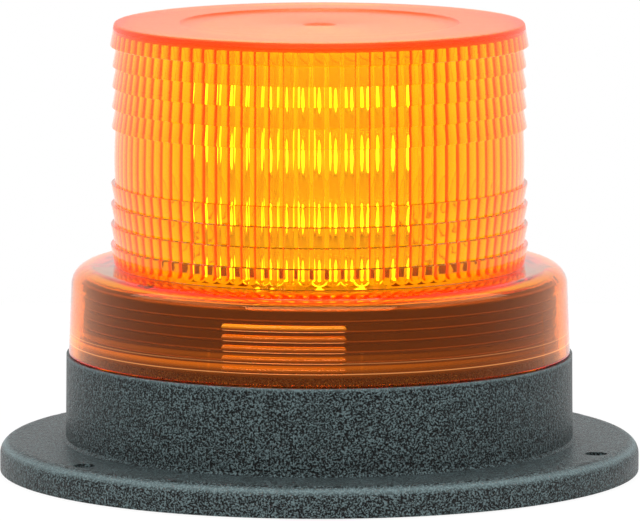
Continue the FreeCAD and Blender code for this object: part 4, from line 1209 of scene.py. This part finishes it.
@dataclass
class Fasteners(SubAssembly):
    """The screws and clips, each set of screws redrawn with cross recesses at its own places."""

    screws: dict[str, tuple[str, Slot]] = field(default_factory=lambda: {
        "plate_screws": ("base", Slot.ZINC_STEEL), "lens_screws": ("base", Slot.ZINC_STEEL),
        "board_screws": ("base", Slot.ZINC_STEEL), "standoff_screws": ("base", Slot.ZINC_STEEL),
        "holder_screws": ("base", Slot.ZINC_STEEL), "motor_screws": ("base", Slot.ZINC_STEEL),
        "deck_screws": ("base", Slot.BLACK_STEEL), "column_screws": ("rotor", Slot.ZINC_STEEL),
        "cap_screws": ("rotor", Slot.BLACK_STEEL)})
    nodes: dict[str, Slot] = field(default_factory=lambda: {
        "axle_clip": Slot.BLACK_STEEL, "retaining_clip": Slot.BLACK_STEEL})

    @staticmethod
    def read(points: np.ndarray) -> tuple[Facing, PanScrew, tuple[float, float, float]]:
        """Work out one screw's facing, sizes and seat from its solid's points."""
        low, high = points.min(0), points.max(0)
        middle = (low + high) / 2
        away = np.hypot(points[:, 0] - middle[0], points[:, 1] - middle[1])
        head = away.max()
        seat = points[away > head * 0.99][:, 2].mean()
        facing = Facing.UP if high[2] - seat < seat - low[2] else Facing.DOWN
        rise = high[2] - seat if facing is Facing.UP else seat - low[2]
        tip = low[2] if facing is Facing.UP else high[2]
        shank = away[np.abs(points[:, 2] - tip) < 1e-5].max()
        screw = PanScrew(float(head), float(rise), float(shank), float(abs(tip - seat)))
        return facing, screw, (float(middle[0]), float(middle[1]), float(seat))

    def build(self) -> None:
        """Redraw every set of screws and dress the clips."""
        for node, (body, slot) in self.screws.items():
            found = [self.read(points) for points in islands(node)]
            copies = []
            for length in sorted({round(screw.length, 5) for _, screw, _ in found}):
                same = [item for item in found if round(item[1].length, 5) == length]
                repeat = Repeat(node + "_set", [seat for _, _, seat in same],
                                [(facing.value, 0.0, 0.0) for facing, _, _ in same], math.tau)
                copies.append(repeat.of(same[0][1].pattern(), self.palette.of(slot)))
            self.claim(weld(copies, node + "_detail"), body, slot, node)
        self.dress()


def weld(things: list[bpy.types.Object], name: str) -> bpy.types.Object:
    """Put several meshes of one finish into one object."""
    shape = bmesh.new()
    for thing in things:
        shape.from_mesh(thing.data)
    mesh = bpy.data.meshes.new(name)
    shape.to_mesh(mesh)
    shape.free()
    mesh.materials.append(things[0].data.materials[0])
    for thing in things:
        bpy.data.objects.remove(thing)
    whole = bpy.data.objects.new(name, mesh)
    bpy.context.scene.collection.objects.link(whole)
    smooth(whole)
    return whole


# ---- column -------------------------------------------------------------------------------------
@dataclass
class LightColumn(SubAssembly):
    """The turning column: its core, boards, cap and the square lights on them.

    Lengths are in millimetres.
    """

    turn: float = 20.7
    case_width: float = 7.0
    case_depth: float = 1.2
    case_bevel: float = 0.25
    dome_radius: float = 2.9
    dome_rise: float = 0.3
    dome_columns: int = 24
    nodes: dict[str, Slot] = field(default_factory=lambda: {
        "column_core": Slot.EXTRUDED_ALUMINIUM, "light_boards": Slot.BOARD_WHITE,
        "column_cap": Slot.BOARD_WHITE, "turntable": Slot.INNER_BLACK})

    def case(self) -> bpy.types.Object:
        """Draw one light's case, with its back on the board and its front towards +X."""
        shape = bmesh.new()
        bmesh.ops.create_cube(shape, size=1.0)
        for vert in shape.verts:
            vert.co = Vector(((vert.co.x + 0.5) * self.case_depth * MM, vert.co.y * self.case_width * MM,
                              vert.co.z * self.case_width * MM))
        middle = 0.5 * self.case_depth * MM
        front = [edge for edge in shape.edges if all(vert.co.x > middle for vert in edge.verts)]
        bmesh.ops.bevel(shape, geom=front, offset=self.case_bevel * MM, segments=2, affect="EDGES")
        mesh = bpy.data.meshes.new("case_pattern")
        shape.to_mesh(mesh)
        shape.free()
        thing = bpy.data.objects.new("case_pattern", mesh)
        bpy.context.scene.collection.objects.link(thing)
        return thing

    def dome(self) -> bpy.types.Object:
        """Draw one light's window, which stands proud of its case and carries its heat at each point."""
        lathe = Lathe(self.dome_columns)
        shares = (0.0, 0.3, 0.6, 0.85, 1.0)
        run = [(max(share, 0.08) * self.dome_radius, self.dome_rise * (1 - share ** 4)) for share in shares]
        lathe.run(run + [(self.dome_radius, -0.05)])
        thing = lathe.mesh("dome_pattern", poles=(self.dome_rise, -0.05))
        thing.name = "dome_pattern"
        heat = thing.data.attributes.new("heat", "FLOAT", "POINT")
        for point in thing.data.vertices:
            away = math.hypot(point.co.x, point.co.y) / (self.dome_radius * MM)
            heat.data[point.index].value = max(0.0, 1 - away ** 2)
            point.co = Vector((point.co.z + self.case_depth * MM, point.co.y, -point.co.x))
        smooth(thing)
        return thing

    def places(self) -> tuple[list[tuple[float, float, float]], list[tuple[float, float, float]]]:
        """Give where each light sits on its board and which way it faces."""
        seats, turns = [], []
        for points in islands("leds"):
            middle = (points.min(0) + points.max(0)) / 2
            bearing = math.atan2(middle[1], middle[0]) - math.radians(self.turn)
            facing = math.radians(self.turn) + round(bearing / (math.pi / 2)) * math.pi / 2
            out = np.array([math.cos(facing), math.sin(facing)])
            depth = (points[:, :2] @ out).min()
            side = np.array([-out[1], out[0]])
            across = points[:, :2] @ side
            seat = out * depth + side * (across.min() + across.max()) / 2
            seats.append((float(seat[0]), float(seat[1]), float(middle[2])))
            turns.append((0.0, 0.0, facing))
        return seats, turns

    def build(self) -> None:
        """Make the lights and dress the column."""
        seats, turns = self.places()
        cases = Repeat("light_cases", seats, turns).of(self.case(), self.palette.of(Slot.GEAR_WHITE))
        domes = Repeat("light_windows", seats, turns).of(self.dome(), self.palette.of(Slot.LED_AMBER))
        self.claim(cases, "rotor", Slot.LED_AMBER, "leds")
        self.claim(domes, "rotor", Slot.LED_AMBER)
        self.dress()


# ---- drive and driver ---------------------------------------------------------------------------
@dataclass
class GearDrive(SubAssembly):
    """The cast plate, the compound gear train, the motor and its shaft."""

    nodes: dict[str, Slot] = field(default_factory=lambda: {
        "drive_plate": Slot.CAST_ALLOY, "drive_standoffs": Slot.ZINC_STEEL, "main_gear": Slot.GEAR_WHITE,
        "idler_gear": Slot.GEAR_WHITE, "idler_axle": Slot.GROUND_STEEL, "drive_pinion": Slot.BRASS_GEAR,
        "motor_can": Slot.MOTOR_STEEL, "motor_end_cap": Slot.MOTOR_CAP, "motor_magnets": Slot.FERRITE,
        "motor_armature": Slot.ARMATURE_IRON, "motor_shaft": Slot.GROUND_STEEL})


@dataclass
class SpindleStack(SubAssembly):
    """The spindle with its bushes, washer and slip rings, and the contacts that bear on them."""

    nodes: dict[str, Slot] = field(default_factory=lambda: {
        "spindle": Slot.GROUND_STEEL, "spindle_bushes": Slot.BRONZE, "thrust_washer": Slot.GROUND_STEEL,
        "slip_ring_sleeve": Slot.INNER_BLACK, "slip_rings": Slot.BRASS_RING,
        "contact_holder": Slot.INNER_BLACK, "contact_springs": Slot.SPRING_BRONZE})


@dataclass
class Driver(SubAssembly):
    """The round board over the base plate, with the parts soldered to it."""

    nodes: dict[str, Slot] = field(default_factory=lambda: {
        "driver_board": Slot.BOARD_GREEN, "capacitors": Slot.CAPACITOR_SLEEVE, "driver_coil": Slot.FERRITE,
        "driver_chips": Slot.CHIP_BLACK, "terminal_block": Slot.TERMINAL_GREEN})


# ---- studio -------------------------------------------------------------------------------------
@dataclass(frozen=True)
class Softbox:
    """One soft rectangular light: its place and size in metres, and its power in watts."""

    name: str
    place: tuple[float, float, float]
    size: tuple[float, float]
    power: float


@dataclass
class Studio:
    """The plain pale floor, the soft lights, the surroundings and the camera. Lengths are in metres."""

    camera_place: tuple[float, float, float] = (0.00015, -1.8988, 0.3028)
    camera_pitch: float = 7.52
    camera_lens: float = 431.0
    floor_reach: float = 0.3
    floor_drop: float = 0.0003
    floor_white: float = 0.9
    fill: float = 0.2
    aim_height: float = 0.05
    bounces: int = 24
    glossy_bounces: int = 16
    softboxes: tuple[Softbox, ...] = (
        Softbox("left_softbox", (-1.0, -0.25, 1.0), (1.4, 0.7), 7.5),
        Softbox("right_softbox", (1.0, -0.25, 1.0), (1.4, 0.7), 7.5),
        Softbox("top_softbox", (0.0, 0.3, 1.3), (0.6, 0.6), 8.0),
        Softbox("front_softbox", (0.0, -0.8, 0.66), (1.2, 0.3), 9.0))

    def floor(self) -> None:
        """Make the square floor that the beacon stands on."""
        reach = self.floor_reach
        corners = [(-reach, -reach, 0), (reach, -reach, 0), (reach, reach, 0), (-reach, reach, 0)]
        mesh = bpy.data.meshes.new("floor")
        mesh.from_pydata(corners, [], [(0, 1, 2, 3)])
        thing = bpy.data.objects.new("floor", mesh)
        bpy.context.scene.collection.objects.link(thing)
        thing.location.z = -self.floor_drop
        paint = Paint("floor_white")
        path = paint.node("LightPath")
        shown = self.seen_through(paint, path).largest(paint.wire(path, "Is Glossy Ray"))
        white = paint.node("Emission", None, {"Color": (1, 1, 1, 1), "Strength": 1.0})
        matt = paint.node("BsdfDiffuse", None, {"Color": (0.9, 0.9, 0.9, 1)})
        both = paint.node("MixShader", None, {0: shown * self.floor_white, 1: paint.wire(matt),
                                               2: paint.wire(white)})
        paint.node("OutputMaterial", None, {"Surface": paint.wire(both)})
        mesh.materials.append(paint.material)

    @staticmethod
    def seen_through(tree: Tree, path: bpy.types.Node) -> Wire:
        """Give 1 for what the camera sees straight or through something clear."""
        passed = tree.wire(path, "Transmission Depth") > 0.5
        straight = tree.wire(path, "Is Camera Ray").largest(tree.wire(path, "Is Transmission Ray"))
        return straight.largest(passed)

    def light(self, box: Softbox) -> None:
        """Hang one soft light that faces the beacon."""
        lamp = bpy.data.lights.new(box.name, "AREA")
        lamp.shape = "RECTANGLE"
        lamp.size, lamp.size_y = box.size
        lamp.energy = box.power
        thing = bpy.data.objects.new(box.name, lamp)
        thing.location = box.place
        aim = Vector((0, 0, self.aim_height)) - Vector(box.place)
        thing.rotation_euler = aim.to_track_quat("-Z", "Y").to_euler()
        bpy.context.scene.collection.objects.link(thing)

    def surroundings(self) -> None:
        """Set a white backdrop, which the camera, gloss and clear pieces see, and a soft grey fill."""
        world = bpy.data.worlds.new("studio")
        bpy.context.scene.world = world
        world.use_nodes = True
        world.node_tree.nodes.clear()
        tree = Tree(world.node_tree, "ShaderNode")
        path = tree.node("LightPath")
        shown = self.seen_through(tree, path).largest(tree.wire(path, "Is Glossy Ray"))
        strength = shown * (1.0 - self.fill) + self.fill
        white = tree.node("Background", None, {"Color": (1, 1, 1, 1), "Strength": strength})
        tree.node("OutputWorld", None, {"Surface": tree.wire(white)})

    def camera(self) -> None:
        """Place the camera."""
        lens = bpy.data.cameras.new("camera")
        lens.lens = self.camera_lens
        lens.sensor_width = 36.0
        lens.clip_start = 0.05
        lens.clip_end = 20.0
        thing = bpy.data.objects.new("camera", lens)
        thing.location = self.camera_place
        thing.rotation_euler = (math.radians(90.0 - self.camera_pitch), 0, 0)
        bpy.context.scene.collection.objects.link(thing)
        bpy.context.scene.camera = thing

    def build(self) -> None:
        """Set the whole studio up."""
        self.floor()
        for box in self.softboxes:
            self.light(box)
        self.surroundings()
        self.camera()
        scene = bpy.context.scene
        scene.view_settings.view_transform = "Standard"
        scene.cycles.max_bounces = self.bounces
        scene.cycles.glossy_bounces = self.glossy_bounces
        scene.cycles.transmission_bounces = self.bounces


def finishes() -> dict[Slot, Finish]:
    """List the finish of every slot."""
    rows = sorted({round(float((p[:, 2].min() + p[:, 2].max()) / 2) / MM, 3) for p in islands("leds")})
    return {
        # Painted highlights lie along the flange's rounded edge and the top edge of the wall, 15 times
        # lighter than the plastic.
        Slot.HOUSING: SparkPlastic("slate_grain", (0.0102, 0.0145, 0.0151), (
            (79.0, 6.6, 1.5, 1.0), (63.3, 28.9, 0.8, 0.8)), 15.0),
        Slot.INNER_BLACK: PlainPlastic("inner_black", (0.03, 0.03, 0.032)),
        Slot.DECK_BLACK: PlainPlastic("deck_black", (0.022, 0.02, 0.02)),
        Slot.RUBBER: PlainPlastic("rubber_black", (0.02, 0.02, 0.02), 0.7),
        Slot.FOAM: PlainPlastic("foam_grey", (0.03, 0.03, 0.035), 0.9),
        Slot.SEAL_RUBBER: PlainPlastic("seal_rubber", (0.02, 0.02, 0.022), 0.5),
        Slot.ZINC_STEEL: Metal("zinc_steel", (0.62, 0.62, 0.6)),
        Slot.BLACK_STEEL: Metal("black_steel", (0.06, 0.06, 0.065), 0.4),
        Slot.GROUND_STEEL: Metal("ground_steel", (0.66, 0.66, 0.67), 0.2),
        Slot.MOTOR_STEEL: Metal("motor_steel", (0.58, 0.58, 0.57)),
        Slot.MOTOR_CAP: PlainPlastic("motor_cap", (0.75, 0.74, 0.7)),
        Slot.ARMATURE_IRON: Metal("armature_iron", (0.25, 0.24, 0.23), 0.5),
        Slot.FERRITE: PlainPlastic("ferrite", (0.06, 0.06, 0.065)),
        Slot.BRONZE: Metal("bronze", (0.55, 0.36, 0.17), 0.4),
        Slot.SPRING_BRONZE: Metal("spring_bronze", (0.78, 0.55, 0.3)),
        Slot.BRASS_RING: Metal("brass_ring", (0.8, 0.6, 0.25), 0.2),
        Slot.BRASS_GEAR: Metal("brass_gear", (0.78, 0.58, 0.24)),
        Slot.CAST_ALLOY: Metal("cast_alloy", (0.55, 0.55, 0.56), 0.5),
        Slot.EXTRUDED_ALUMINIUM: Metal("extruded_aluminium", (0.72, 0.72, 0.74), 0.35),
        Slot.BOARD_GREEN: PlainPlastic("board_green", (0.015, 0.16, 0.06), 0.35),
        Slot.BOARD_WHITE: LitBoard("board_lit", (0.75, 0.72, 0.66), (1.0, 0.5, 0.1), rows[0],
                                   (rows[-1] - rows[0]) / (len(rows) - 1)),
        Slot.CAPACITOR_SLEEVE: PlainPlastic("capacitor_sleeve", (0.03, 0.03, 0.08), 0.35),
        Slot.CHIP_BLACK: PlainPlastic("chip_black", (0.025, 0.025, 0.025)),
        Slot.TERMINAL_GREEN: PlainPlastic("terminal_green", (0.04, 0.3, 0.12)),
        Slot.GEAR_WHITE: PlainPlastic("gear_white", (0.86, 0.85, 0.8), 0.4),
        Slot.LENS_AMBER: ClearAmber("amber_clear"),
        Slot.LED_AMBER: Phosphor("light_window", (1.0, 0.95, 0.75), (1.0, 0.7, 0.25),
                                 (0.03, 0.018, 0.003), 140.0),
    }


def main() -> None:
    """Build the beacon's looks in order."""
    Studio().build()
    palette = Palette(finishes())
    groups = (Lens(palette), Housing(palette), Fasteners(palette), LightColumn(palette),
              GearDrive(palette), SpindleStack(palette), Driver(palette))
    for group in groups:
        group.build()
        log.info("%s finished", type(group).__name__)


if __name__ == "__main__":
    logging.basicConfig(level=logging.INFO, format="%(name)s: %(message)s")
    main()
